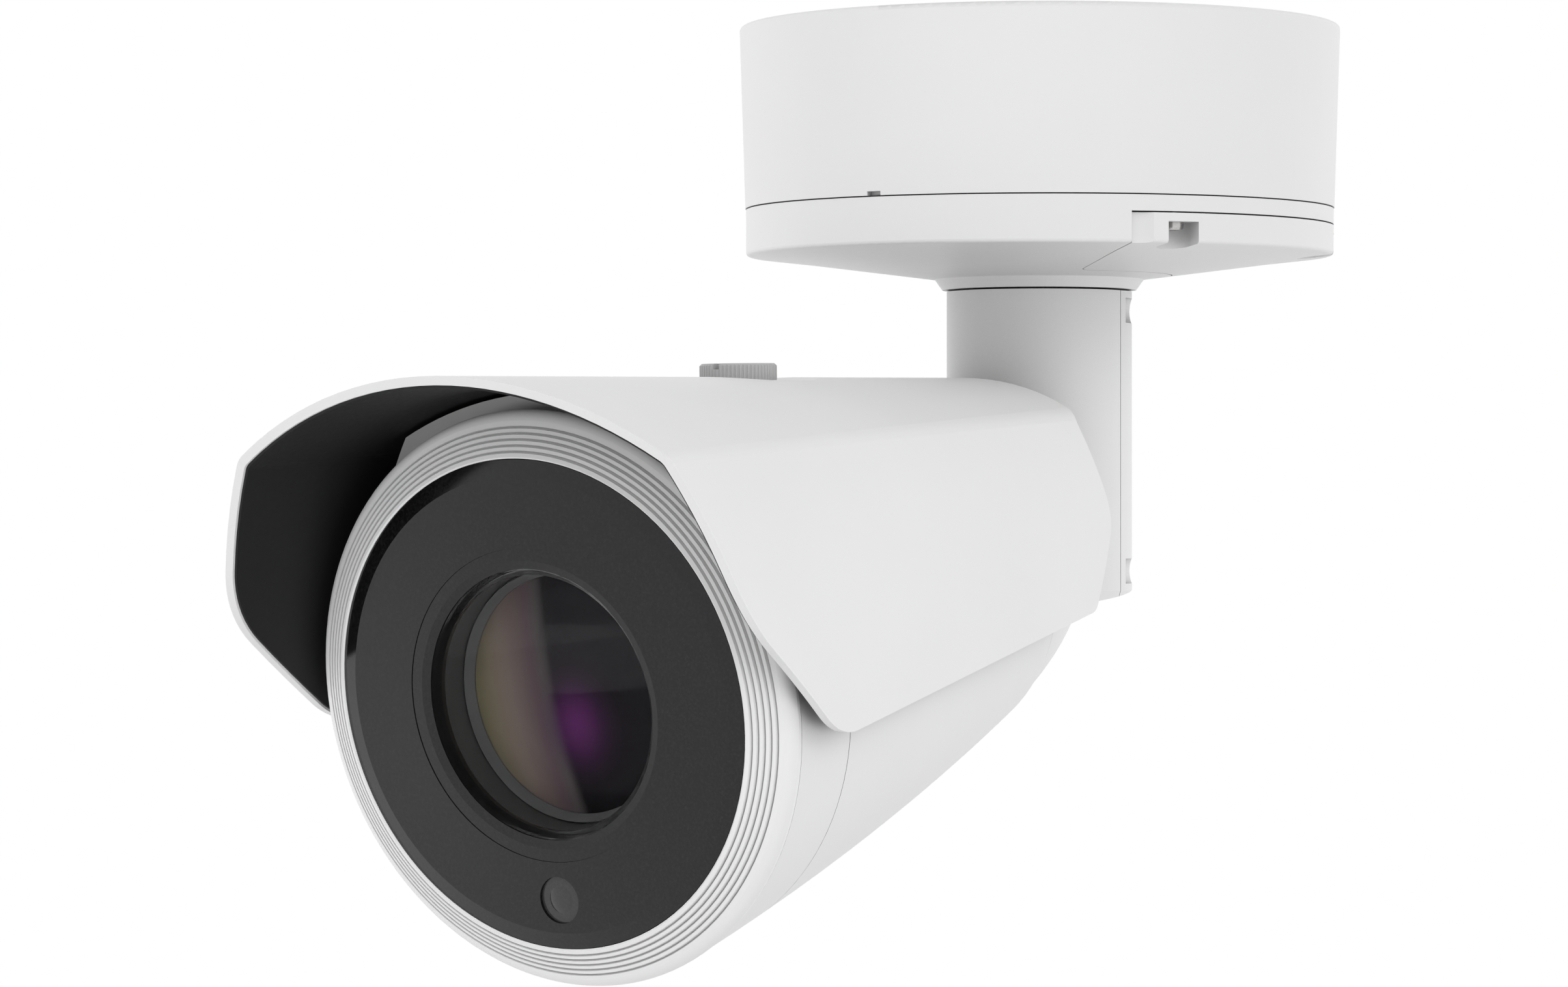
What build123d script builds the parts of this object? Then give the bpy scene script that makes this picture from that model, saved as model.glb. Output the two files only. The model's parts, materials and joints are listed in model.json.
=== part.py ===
from build123d import *
import os
from math import atan, cos, degrees, hypot, pi, radians, sin, sqrt, tan

# Bullet security camera on a ceiling box: pan, tilt and roll bracket, sliding sunshield,
# motorised zoom lens. Millimetres, +Z up, origin on the pan axis in the ceiling plane.
# The camera looks towards -Y and is stored pointing down by REST_TILT.

# ---- clearances and fits -------------------------------------------------------------
PART_LINE = 0.3      # seam between two fixed shells
MOVE_GAP = 0.5       # between pieces that move past each other
RUN_FIT = 0.05       # radial play of a shaft in its bearing
THRUST_GAP = 0.1     # axial play of a pivot
FAR = 400.0          # beyond every outside face, for cuts that go right through

# ---- ceiling box ---------------------------------------------------------------------
BOX_LOW_R = 80.4
BOX_DRAFT = 1.6
BOX_H = 49.6
BOX_WALL = 3.0
BOX_PLATE = 4.0
BOX_EDGE = 1.2
CEILING_HOLE_INSET = 20.4
CEILING_HOLE_R = 2.75
CEILING_HOLES = 4
CABLE_HOLE_R = 14.0
SEAL_T = 0.35
SEAL_INSET = 0.9
SEAL_W = 1.6
PRY_W = 4.2
PRY_H = 1.1
HOOK_ANGLE = 30.0
HOOK_W = 10.0
HOOK_T = 2.2
HOOK_CATCH = 2.9
HOOK_UP = 6.6

# ---- junction board ------------------------------------------------------------------
BOARD_DROP = 14.0
BOARD_T = 1.6
BOARD_X = 76.0
BOARD_Y = 30.0
BOARD_AT_Y = 38.0
BOARD_POST_R = 3.0
BOARD_HOLE_INSET = 4.0
JACK_W = 16.0
JACK_H = 13.5
JACK_WALL = 2.5
JACK_AT_X = -18.0
TERMINALS = 6
TERMINAL_PITCH = 5.0
TERMINAL_H = 10.0
TERMINAL_AT_X = -2.0

# ---- box cover -----------------------------------------------------------------------
COVER_STEP = 0.2
COVER_WALL = 2.6
COVER_BAND_H = 12.45
COVER_EDGE = 1.0
UNDER_W = 14.2
UNDER_DROP = 1.6
CONE_DROP = 4.6
HUB_FLARE = 3.3
HUB_LIP = 1.2
HUB_H = 3.2
HUB_BOSS_WALL = 8.0
HUB_BOSS_H = 12.0
LOCK_SCREW_R = 2.0
LOCK_SCREW_DROP = 3.0    # below the top of the boss

# ---- service hatch in the cover ------------------------------------------------------
HATCH_HALF_ANGLE = 40.0
HATCH_FROM_HUB = 7.4
HATCH_TOP = 4.2          # below the seam
HATCH_CORNER = 3.0
HATCH_GAP = 0.4
HATCH_SCREW_INSET = 5.5
HATCH_SCREW_ANGLE = 29.4
HATCH_LUG_R = 4.2
POCKET_W = 9.0
POCKET_ROOF = 2.2
POCKET_WALL = 1.6
SCOOP_R = 9.0
SCOOP_DEPTH = 1.3
COVER_SCREW_INSET = 14.4
COVER_SCREW_ANGLE = 20.0
COVER_SCREW_LEN = 14.0
COVER_BOSS_R = 5.0
STRAP_T = 3.0
STRAP_HALF_W = 6.0

# ---- pan bearing ---------------------------------------------------------------------
SPINDLE_R = 14.0
SPINDLE_WALL = 3.5
BUSH_T = 2.0
BUSH_FLANGE = 1.5
RETAINER_T = 3.0
RETAINER_W = 6.0
SPINDLE_TIP = 2.5
SPINDLE_FLANGE_GAP = 2.0
SPINDLE_SCREW_OUT = 3.4
SMALL_SCREW_LEN = 5.6    # hatch and spindle screws
SPINDLE_FLANGE_T = 3.0

# ---- arm -----------------------------------------------------------------------------
ARM_R = 25.3
ARM_WALL = 2.8
ARM_H = 81.5
ARM_LID_T = 4.0
ARM_SPLIT_Y = 1.2
ARM_SCREW_LEN = 10.0
ARM_SCREW_IN = 4.0       # from the side of the arm
ARM_SCREW_INSET = 5.3    # from the top and the lower end
ARM_POCKET_R = 3.4
ARM_POCKET_FLOOR = 3.1
ARM_BOSS_R = 4.4
ARM_BOSS_LEN = 10.2
CHIN_H = 4.0
CHIN_SLOPE = 8.0
CHIN_ROUND = 5.4
CHIN_BACK_Y = 12.0

# ---- tilt joint ----------------------------------------------------------------------
PIVOT_UP = 14.8          # above the arm's lower end
REST_TILT = 10.2
KNUCKLE_R = 12.6
KNUCKLE_W = 17.2
WASHER_T = 1.0
WASHER_R = 9.5
CHEEK_T = 3.2
CHEEK_R = 11.0
BOLT_R = 4.0
BOLT_HEAD_R = 6.4
BOLT_HEAD_T = 4.2
BOLT_SOCKET_D = 2.5
NUT_R = 7.0
NUT_T = 4.0
NECK_R = 8.6
NECK_BORE_R = 5.0
NECK_LEN = 31.7          # from the collar to the pivot

# ---- camera body: stations are measured back from the front face ---------------------
HOUSING_R = 70.8
HOUSING_DROP = 27.2      # loss of radius from front to tail
HOUSING_BULGE = 2.5
HOUSING_START = 8.0
HOUSING_SEAM = 34.0
HOUSING_END = 167.0
HOUSING_SCREW_BITE = 12.0    # thread of a housing screw past the seam
HOUSING_WALL = 3.0
HOUSING_TAIL_ROUND = 4.0
HOUSING_END_WALL = 5.0
HOUSING_SCREW_INSET = 11.5
HOUSING_BOSS_R = 4.2
SEAL_RING_DROP = 1.6
SEAL_RING_W = 1.2
BEZEL_STEP = 0.3
BEZEL_W = 10.8
BEZEL_LEN = 9.0
BEZEL_LIP = 0.15
BEZEL_SLOPE = 0.51
BEZEL_FLANGE = 2.0
GROOVES = 5
GROOVE_FIRST = 1.6
GROOVE_PITCH = 1.38
GROOVE_W = 0.66
GROOVE_DEPTH = 0.75
COLLAR_STEP = 1.0
COLLAR_DROP = 9.4
COLLAR_LEN = 28.0
COLLAR_BULGE = 0.7
COLLAR_ROUND = 4.0
COLLAR_WALL = 3.0
COLLAR_SCREW_SINK = 6.0

# ---- roll joint ----------------------------------------------------------------------
ROLL_HUB_R = 16.0
ROLL_HUB_LEN = 16.0
ROLL_BUSH_T = 2.0
ROLL_BORE_R = 7.0
ROLL_RING_T = 3.0
ROLL_RING_W = 6.0
NECK_FLANGE_GAP = 12.6
NECK_FLANGE_T = 4.0
NECK_SCREW_INSET = 5.0

# ---- front window --------------------------------------------------------------------
FACE_GAP = 0.2
FACE_T = 4.2
FACE_PROUD = 0.3
FACE_BEVEL_W = 3.9
FACE_BEVEL_H = 0.8
LENS_CONE_W = 2.1
LENS_RING_W = 3.1
LENS_RING_STEP = 0.15
WINDOW_GAP = 2.1
WINDOW_DEPTH = 0.9
WINDOW_T = 2.0
WINDOW_LEDGE = 1.8
WINDOW_EDGE = 0.25
EYE_INSET = 12.1
EYE_R = 5.8
EYE_BULGE_R = 8.6

# ---- infrared lamps ------------------------------------------------------------------
LED_BOARD_AT = 12.0
LED_BOARD_INSET = 3.1
LED_BOARD_T = 1.6
LED_INSET = 11.1
LED_R = 5.2
LED_H = 6.5
LED_TIP = 1.6
LED_ANGLES = [20 + 28 * i for i in range(6)] + [-20, -48, -132, -160]
SPREADER_T = 3.0
SCREW_CLEAR_R = 5.0
SHROUD_WALL = 1.6
SHROUD_FLANGE_W = 2.4
SHROUD_FLANGE_T = 1.2

# ---- lens ----------------------------------------------------------------------------
LENS_FRONT = 11.2
LENS_RIM_R = 31.3
LENS_RIM_W = 1.7
LENS_RIM_BEVEL = 2.3
LENS_HEAD_LEN = 8.8
LENS_SAG = 4.0
BARREL_R = 25.5
BARREL_WALL = 2.1
BARREL_END = 86.0
END_PLATE_T = 3.0
END_PLATE_W = 4.0
REAR_GLASS_R = 8.6
ROD_R = 1.5
ROD_INSET = 3.8
GROUP_GAP = 3.6
GROUP_WALL = 3.0
ZOOM_T = 9.0
ZOOM_TRAVEL = 18.0
FOCUS_T = 6.0
FOCUS_TRAVEL = 8.0
GROUPS_APART = 11.0
FOCUS_REST_GAP = 8.0     # to the end plate
MOTOR_R = 6.0
MOTOR_LEN = 12.0
FILTER_TRAVEL = 11.6
FILTER_SIDE = 5.8
FILTER_HALF_H = 7.2
FILTER_T = 2.0
SENSOR_STANDOFF = 6.0
SENSOR_BOARD_T = 1.6
BOARD_STANDOFF = 23.0
BOARD_EDGE_GAP = 7.1
BOARD_HALF_H = 33.0
MAIN_BOARD_T = 1.6
CHIP_T = 2.4
CHASSIS_AT = 17.5
CHASSIS_RING_T = 2.5
RAIL_OUT = 10.5
RAIL_T = 2.5
RAIL_HALF_H = 9.0
FINS = 7
FIN_T = 1.3
FIN_H = 8.5
SINK_HALF = 17.0
SINK_BASE_T = 2.5

# ---- sunshield -----------------------------------------------------------------------
SHIELD_DROP = 26.887     # loss of radius from the front face to the end of the housing
SHIELD_RISE = 9.2        # ridge above the bezel, at the front face
SHIELD_SIDE = 8.6        # flank outside the bezel, at the front face
CROWN_DROP = 32.0
FLANK_SHIFT = 64.7
FLANK_RISE = -8.0
SHIELD_T = 2.2
HOOD_SPARE = 17.0        # length of the raw form past its side outline
SHOULDER_OUT = 7.0
SHOULDER_IN = 4.5
FRONT_TOP_OUT = 27.4
FRONT_TOP_V = 88.0
FRONT_KNEE_OUT = 18.9
FRONT_KNEE_V = 24.8
FRONT_KNEE_ROUND = 34.0
LOW_V = -9.4
LOW_FRONT = 14.9
LOW_FRONT_ROUND = 22.0
LOW_REAR_PAST = 3.4      # rear outline, past the housing's end
LOW_REAR_ROUND = 5.0
REAR_KNEE_PAST = 23.6
REAR_KNEE_V = 11.8
REAR_KNEE_ROUND = 14.0
REAR_WAIST_PAST = 22.2
REAR_WAIST_V = 38.0
REAR_WAIST_ROUND = 6.0
REAR_TOP_PAST = 30.0
REAR_TOP_V = 51.0
LINER_T = 0.6
LINER_INSET = 0.6
KNOB_STATION = 95.4
PAD_DROP = 2.1
PAD_GAP = 2.2
PAD_FLARE = 2.1          # growth of the dish radius per millimetre of height
PAD_WALL = 2.4
PAD_RIM = 5.5
SLIDE_TRAVEL = 8.0
SADDLE_GAP = 1.0
SADDLE_SIDE_GAP = 7.4
SADDLE_WALL = 2.5
SADDLE_FRONT = 18.0
SADDLE_REAR_BEFORE = 17.0
SADDLE_LOW_V = 32.0
SADDLE_SCREW_LEN = 7.5
SADDLE_SCREW_SEAT = 1.0
SADDLE_SCREW_FRONT = 30.0
SADDLE_SCREW_REAR = 12.0
SADDLE_BOSS_R = 5.5

# ---- knob ----------------------------------------------------------------------------
KNOB_R = 9.8
KNOB_TOP = 3.4
KNOB_RIBS = 60
KNOB_RIB_R = 0.32
KNOB_EDGE = 0.6
KNOB_WASHER_R = 8.0
KNOB_WASHER_T = 0.8
STUD_R = 3.0
STUD_LEN = 11.0
STUD_BOSS_R = 6.5
STUD_BOSS_AT = -7.0      # top of the boss under the ridge
STUD_BOSS_H = 10.0
COIN_SLOT_W = 1.7
COIN_SLOT_D = 1.5


def polar(r, angle):
    return r * cos(radians(angle)), r * sin(radians(angle))


def housing_radius(s):
    """Outer radius of the housing at a station."""
    t = (s - HOUSING_START) / (HOUSING_END - HOUSING_START)
    return HOUSING_R - HOUSING_DROP * t + 4 * HOUSING_BULGE * t * (1 - t)


# ---- derived sizes: ceiling box and cover --------------------------------------------
BOX_TOP_R = BOX_LOW_R + BOX_DRAFT
CEILING_PCD = 2 * (BOX_LOW_R - CEILING_HOLE_INSET)
COVER_R = BOX_LOW_R - COVER_STEP
COVER_SCREW_R = BOX_LOW_R - COVER_SCREW_INSET
UNDER_R = COVER_R - UNDER_W
HUB_R = ARM_R + HUB_FLARE
HUB_TIP_R = ARM_R + HUB_LIP
HUB_BOSS_R = SPINDLE_R + BUSH_T + HUB_BOSS_WALL
HATCH_IN_R = HUB_R + HATCH_FROM_HUB
HATCH_SCREW_R = COVER_R - HATCH_SCREW_INSET
LOCK_SCREW_UP = HUB_BOSS_H - LOCK_SCREW_DROP
BOARD_POST_X = BOARD_X / 2 - BOARD_HOLE_INSET
BOARD_POST_Y = BOARD_Y / 2 - BOARD_HOLE_INSET
BOARD_POSTS = [(sx * BOARD_POST_X, BOARD_AT_Y + sy * BOARD_POST_Y) for sx in (-1, 1) for sy in (-1, 1)]
Z_SEAM = -(BOX_H + SEAL_T)
Z_BAND = Z_SEAM - COVER_BAND_H
Z_UNDER = Z_BAND - UNDER_DROP
Z_CONE = Z_UNDER - CONE_DROP
Z_HUB = Z_CONE - HUB_H
Z_BOSS = Z_HUB + HUB_BOSS_H
Z_ARM = Z_HUB - MOVE_GAP

# ---- derived sizes: arm and pivots ---------------------------------------------------
SPINDLE_BORE_R = SPINDLE_R - SPINDLE_WALL
RETAINER_R = SPINDLE_R + RETAINER_W
Z_ARM_LOW = Z_ARM - ARM_H
PIVOT_Z = Z_ARM_LOW + PIVOT_UP
ARM_IN_R = ARM_R - ARM_WALL
ARM_SCREW_X = ARM_R - ARM_SCREW_IN
CHIN_ROUND_R = ARM_R + CHIN_ROUND
SPINDLE_FLANGE_R = ARM_IN_R - SPINDLE_FLANGE_GAP
SPINDLE_FLANGE_HALF_W = ARM_SCREW_X - ARM_BOSS_R - 3 * MOVE_GAP
SPINDLE_SCREW_R = SPINDLE_R + SPINDLE_SCREW_OUT
SPINDLE_SCREW_SPOTS = [polar(SPINDLE_SCREW_R, angle) for angle in (90, -60, -120)]
BUSH_TOP = Z_BOSS + BUSH_FLANGE
CHEEK_IN = KNUCKLE_W / 2 + THRUST_GAP + WASHER_T
CHEEK_OUT = CHEEK_IN + CHEEK_T
COLLAR_START = HOUSING_END + MOVE_GAP
COLLAR_END = COLLAR_START + COLLAR_LEN
FACE_TO_PIVOT = COLLAR_END + NECK_LEN
HOUSING_TAIL_R = HOUSING_R - HOUSING_DROP
COLLAR_START_R = HOUSING_TAIL_R - COLLAR_STEP
COLLAR_END_R = COLLAR_START_R - COLLAR_DROP
ROLL_RING_R = ROLL_HUB_R + ROLL_RING_W
NECK_FLANGE_R = COLLAR_START_R - NECK_FLANGE_GAP
NECK_FLANGE_AT = COLLAR_START + COLLAR_WALL
COLLAR_SCREW_SPOTS = [polar(NECK_FLANGE_R - NECK_SCREW_INSET, 30 + 120 * i) for i in range(3)]

# ---- derived sizes: front and lens ---------------------------------------------------
BEZEL_OUT_R = HOUSING_R + BEZEL_STEP
BEZEL_IN_R = BEZEL_OUT_R - BEZEL_W
BEZEL_SEAT_R = BEZEL_IN_R - BEZEL_FLANGE
FACE_R = BEZEL_IN_R - FACE_GAP
EYE_DROP = FACE_R - EYE_INSET
LED_RING_R = FACE_R - LED_INSET
LED_BOARD_R = FACE_R - LED_BOARD_INSET
SPREADER_AT = LED_BOARD_AT + LED_BOARD_T
HOUSING_SCREW_SPOTS = [polar(HOUSING_R - HOUSING_SCREW_INSET, -90 + 120 * i) for i in range(3)]
SEAL_RING_R = housing_radius(HOUSING_SEAM) - SEAL_RING_DROP
LENS_HOLE_R = LENS_RIM_R + WINDOW_GAP
LENS_CONE_R = LENS_HOLE_R + LENS_CONE_W
LENS_RING_R = LENS_CONE_R + LENS_RING_W
LENS_GLASS_R = LENS_RIM_R - LENS_RIM_W
LENS_HEAD_END = LENS_FRONT + LENS_HEAD_LEN
SHROUD_R = LENS_HOLE_R + SHROUD_WALL
BARREL_BORE_R = BARREL_R - BARREL_WALL
ROD_OFFSET = BARREL_BORE_R - ROD_INSET
GROUP_R = ROD_OFFSET - GROUP_GAP
FOCUS_STATION = BARREL_END - FOCUS_REST_GAP - FOCUS_T
ZOOM_STATION = FOCUS_STATION - GROUPS_APART - ZOOM_T - ZOOM_TRAVEL
END_PLATE_AT = BARREL_END + END_PLATE_T
SENSOR_AT = END_PLATE_AT + SENSOR_STANDOFF
BOARD_AT = SENSOR_AT + BOARD_STANDOFF
BOARD_R = housing_radius(BOARD_AT) - HOUSING_WALL - BOARD_EDGE_GAP
RAIL_X = BARREL_R + RAIL_OUT

# ---- derived sizes: sunshield --------------------------------------------------------
RIDGE_AT_FACE = BEZEL_OUT_R + SHIELD_RISE
CROWN_R = RIDGE_AT_FACE + CROWN_DROP
FLANK_R = FLANK_SHIFT + BEZEL_OUT_R + SHIELD_SIDE
PAD_R = KNOB_R + PAD_GAP
REAR_TOP = HOUSING_END + REAR_TOP_PAST
HOOD_FROM = -(FRONT_TOP_OUT + HOOD_SPARE)
HOOD_TO = REAR_TOP + HOOD_SPARE
HOOD_TOP = RIDGE_AT_FACE + 2 * SHOULDER_OUT
SADDLE_REAR = HOUSING_END - SADDLE_REAR_BEFORE
SADDLE_SCREW_STATIONS = (SADDLE_FRONT + SADDLE_SCREW_FRONT, SADDLE_REAR - SADDLE_SCREW_REAR)
TAPER = SHIELD_DROP / HOUSING_END
TAPER_ANGLE = degrees(atan(TAPER))
CAMERA = Pos(0, 0, PIVOT_Z) * Rot(X=REST_TILT) * Pos(0, -FACE_TO_PIVOT, 0)
RIDGE = Pos(0, KNOB_STATION, RIDGE_AT_FACE - TAPER * KNOB_STATION) * Rot(X=-TAPER_ANGLE)


# ---- helpers -------------------------------------------------------------------------
def spin(points, axis=Axis.Y):
    """Solid of revolution of a closed (radius, station) outline."""
    return revolve(Plane.XY * make_face(Polyline(*points, close=True)), axis)


def disc(r, s0, s1, x=0.0, v=0.0, bore=0.0):
    """Cylinder along the camera axis from station s0 to s1."""
    body = Pos(x, (s0 + s1) / 2, v) * Rot(X=90) * Cylinder(r, s1 - s0)
    if bore:
        body -= Pos(x, (s0 + s1) / 2, v) * Rot(X=90) * Cylinder(bore, s1 - s0 + 1)
    return body


def post(r, z0, z1, x=0.0, y=0.0, bore=0.0):
    """Upright cylinder from z0 up to z1."""
    body = Pos(x, y, (z0 + z1) / 2) * Cylinder(r, z1 - z0)
    if bore:
        body -= Pos(x, y, (z0 + z1) / 2) * Cylinder(bore, z1 - z0 + 1)
    return body


def cross(r, x0, x1, y, z, bore=0.0):
    """Cylinder along X from x0 to x1."""
    body = Pos((x0 + x1) / 2, y, z) * Rot(Y=90) * Cylinder(r, x1 - x0)
    if bore:
        body -= Pos((x0 + x1) / 2, y, z) * Rot(Y=90) * Cylinder(bore, x1 - x0 + 1)
    return body


def block(x0, x1, y0, y1, z0, z1):
    """Box between two corners."""
    return Pos((x0 + x1) / 2, (y0 + y1) / 2, (z0 + z1) / 2) * Box(x1 - x0, y1 - y0, z1 - z0)


def sector(r0, r1, half_angle, z0, z1, corner=0.0):
    """Upright wedge about +X between two radii."""
    a, b = polar(r0, -half_angle), polar(r0, half_angle)
    c, d = polar(r1, half_angle), polar(r1, -half_angle)
    outline = Polyline(d, a) + ThreePointArc(a, (r0, 0), b)
    outline += Polyline(b, c) + ThreePointArc(c, (r1, 0), d)
    face = make_face(outline)
    if corner:
        inner = [p for p in face.vertices() if hypot(p.X, p.Y) < (r0 + r1) / 2]
        face = fillet(inner, corner)
    return Pos(0, 0, z0) * extrude(face, z1 - z0)


def pan_screw(head_r, head_t, shank_r, shank_len):
    """Cross-recessed pan-head screw standing on its shank, head up, seat at z = 0."""
    screw = Pos(0, 0, head_t / 2) * Cylinder(head_r, head_t)
    screw = fillet(screw.edges().group_by(Axis.Z)[-1], head_t * 0.45)
    screw += Pos(0, 0, -shank_len / 2) * Cylinder(shank_r, shank_len)
    for turn in (0, 90):
        screw -= Pos(0, 0, head_t) * Rot(Z=turn) * Box(head_r * 1.1, head_r * 0.28, head_t)
    return screw


# ---- ceiling box pieces --------------------------------------------------------------
def back_box():
    shell = Pos(0, 0, -BOX_H / 2) * Cone(BOX_LOW_R, BOX_TOP_R, BOX_H)
    shell = fillet(shell.edges().group_by(Axis.Z)[-1], BOX_EDGE)
    hollow_h = BOX_H - BOX_PLATE
    low_in, top_in = BOX_LOW_R - BOX_WALL, BOX_TOP_R - BOX_WALL
    shell -= Pos(0, 0, -BOX_H + hollow_h / 2) * Cone(low_in, top_in, hollow_h)
    for side in (-1, 1):
        x, y = polar(COVER_SCREW_R, side * COVER_SCREW_ANGLE)
        shell += post(COVER_BOSS_R, -BOX_H, -BOX_PLATE, x, y)
        shell -= post(1.6, -BOX_H - 1, -BOX_H + COVER_SCREW_LEN + 2, x, y)
        x, y = polar(low_in, 180 + side * HOOK_ANGLE)
        catch = Box(2 * (HOOK_CATCH - MOVE_GAP) - 1.6, HOOK_W + 1.2, HOOK_CATCH + 1.5)
        shell -= Pos(x, y, -BOX_H + HOOK_UP + HOOK_CATCH / 2) * Rot(Z=180 + side * HOOK_ANGLE) * catch
    for i in range(CEILING_HOLES):
        x, y = polar(CEILING_PCD / 2, 45 + 360 / CEILING_HOLES * i)
        shell -= post(CEILING_HOLE_R, -BOX_PLATE - 1, 1, x, y)
    shell -= post(CABLE_HOLE_R, -BOX_PLATE - 1, 1)
    for x, y in BOARD_POSTS:
        shell += post(BOARD_POST_R, -BOARD_DROP, -BOX_PLATE, x, y)
    pry = block(-PRY_W / 2, PRY_W / 2, -BOX_LOW_R - 1, -BOX_LOW_R + 2, -BOX_H - 1, -BOX_H + PRY_H)
    return shell - pry


def box_seal():
    r = BOX_LOW_R - SEAL_INSET
    return post(r, Z_SEAM, -BOX_H, bore=r - SEAL_W)


def junction_board():
    board = Pos(0, BOARD_AT_Y, -BOARD_DROP - BOARD_T / 2) * Box(BOARD_X, BOARD_Y, BOARD_T)
    for x, y in BOARD_POSTS:
        board -= post(1.3, -BOARD_DROP - BOARD_T - 1, -BOARD_DROP + 1, x, y)
    return board


def network_jack():
    top = -BOARD_DROP - BOARD_T
    x0, x1 = JACK_AT_X - JACK_W / 2, JACK_AT_X + JACK_W / 2
    jack = block(x0, x1, BOARD_AT_Y - 11, BOARD_AT_Y + 10, top - JACK_H, top)
    return jack - block(x0 + JACK_WALL, x1 - JACK_WALL, BOARD_AT_Y - 12, BOARD_AT_Y + 2,
                        top - JACK_H + 3, top - JACK_WALL)


def terminal_block():
    top = -BOARD_DROP - BOARD_T
    low = top - TERMINAL_H
    end = TERMINAL_AT_X + TERMINALS * TERMINAL_PITCH
    body = block(TERMINAL_AT_X, end, BOARD_AT_Y - 10, BOARD_AT_Y, low, top)
    for i in range(TERMINALS):
        x = TERMINAL_AT_X + TERMINAL_PITCH * (i + 0.5)
        body -= post(1.7, low - 1, low + 6, x, BOARD_AT_Y - 3.5)
        body -= block(x - 1.6, x + 1.6, BOARD_AT_Y - 11, BOARD_AT_Y - 6, low + 1.5, low + 4.7)
    return body


# ---- box cover pieces ----------------------------------------------------------------
def cover_shell():
    outer = [(0, Z_SEAM), (COVER_R, Z_SEAM), (COVER_R, Z_BAND), (UNDER_R, Z_UNDER),
             (HUB_R + 1.6, Z_CONE), (HUB_R, Z_CONE - 0.3), (HUB_TIP_R, Z_HUB), (0, Z_HUB)]
    shell = revolve(Plane.XZ * make_face(Polyline(*outer, close=True)), Axis.Z)
    rim = shell.edges().filter_by(GeomType.CIRCLE).filter_by(lambda e: abs(e.radius - COVER_R) < 0.01)
    shell = fillet(rim.sort_by(Axis.Z)[0], COVER_EDGE)
    wall_r = COVER_R - COVER_WALL
    inner = [(0, Z_SEAM + 1), (wall_r, Z_SEAM + 1), (wall_r, Z_BAND + 1.2), (UNDER_R, Z_UNDER + COVER_WALL),
             (HUB_BOSS_R, Z_CONE + COVER_WALL + 0.8), (HUB_BOSS_R, Z_BOSS), (0, Z_BOSS)]
    shell -= revolve(Plane.XZ * make_face(Polyline(*inner, close=True)), Axis.Z)
    return shell - post(SPINDLE_R + RUN_FIT + BUSH_T, Z_HUB - 1, Z_BOSS + 1)


def base_cover():
    cover = cover_shell()
    cover -= sector(HATCH_IN_R, COVER_R + 5, HATCH_HALF_ANGLE, Z_HUB - 1, Z_SEAM - HATCH_TOP, HATCH_CORNER)
    wall_r = COVER_R - COVER_WALL
    for side in (-1, 1):
        x, y = polar(HATCH_SCREW_R, side * HATCH_SCREW_ANGLE)
        lug = post(HATCH_LUG_R, Z_SEAM - HATCH_TOP, Z_SEAM - 0.5, x, y) & post(COVER_R - 1, -FAR, 0)
        cover += lug
        cover -= post(1.2, Z_SEAM - HATCH_TOP - 1, Z_SEAM - 1.0, x, y)
        x, y = polar(COVER_SCREW_R, side * COVER_SCREW_ANGLE)
        turn = side * COVER_SCREW_ANGLE
        strap = block(COVER_SCREW_R - STRAP_HALF_W, wall_r + 1, -STRAP_HALF_W, STRAP_HALF_W,
                      Z_SEAM - STRAP_T, Z_SEAM)
        cover += Rot(Z=turn) * strap
        cover -= post(2.1, Z_SEAM - STRAP_T - 1, Z_SEAM + 1, x, y)
        turn = 180 + side * HOOK_ANGLE
        inner_r = BOX_LOW_R - BOX_WALL - MOVE_GAP
        tip_z = -BOX_H + HOOK_UP + HOOK_CATCH
        hook = block(inner_r - HOOK_T, inner_r, -HOOK_W / 2, HOOK_W / 2, Z_BAND + 1, tip_z)
        hook += block(inner_r - HOOK_T, inner_r + 1.4, -HOOK_W / 2, HOOK_W / 2, tip_z - HOOK_CATCH, tip_z)
        cover += Rot(Z=turn) * hook
    return cover - lock_hole(LOCK_SCREW_R + RUN_FIT, SPINDLE_R, HUB_BOSS_R + 2)


def lock_hole(r, r0, r1):
    return Pos((r0 + r1) / 2, 0, Z_HUB + LOCK_SCREW_UP) * Rot(Y=90) * Cylinder(r, r1 - r0)


def hatch_cover():
    gap = HATCH_GAP
    edge_turn = degrees(gap / COVER_R)
    keep = sector(HATCH_IN_R + gap, COVER_R + 5, HATCH_HALF_ANGLE - edge_turn, Z_HUB - 1,
                  Z_SEAM - HATCH_TOP - gap, HATCH_CORNER)
    shell = cover_shell()
    roof_z = Z_SEAM - HATCH_TOP - gap - POCKET_ROOF
    mid_wall = [(0, Z_SEAM), (COVER_R - 1, Z_SEAM), (COVER_R - 1, Z_BAND + 0.5),
                (UNDER_R, Z_UNDER + 1), (0, Z_UNDER + 1)]
    within = revolve(Plane.XZ * make_face(Polyline(*mid_wall, close=True)), Axis.Z)
    for side in (-1, 1):
        x, y = polar(HATCH_SCREW_R, side * HATCH_SCREW_ANGLE)
        shell += post(POCKET_W / 2 + POCKET_WALL, Z_UNDER - 2, Z_SEAM - HATCH_TOP - gap, x, y) & within
    hatch = shell & keep
    for side in (-1, 1):
        turn = side * HATCH_SCREW_ANGLE
        x, y = polar(HATCH_SCREW_R, turn)
        hatch -= post(POCKET_W / 2, Z_HUB, roof_z, x, y)
        hatch -= Rot(Z=turn) * block(HATCH_SCREW_R, COVER_R + 2, -POCKET_W / 2, POCKET_W / 2, Z_HUB, roof_z)
        hatch -= post(1.6, roof_z - 1, Z_SEAM, x, y)
        x, y = polar(COVER_R + SCOOP_R - SCOOP_DEPTH, side * (HATCH_HALF_ANGLE - 1.2))
        hatch -= post(SCOOP_R, Z_HUB, Z_SEAM, x, y)
    return hatch


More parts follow.
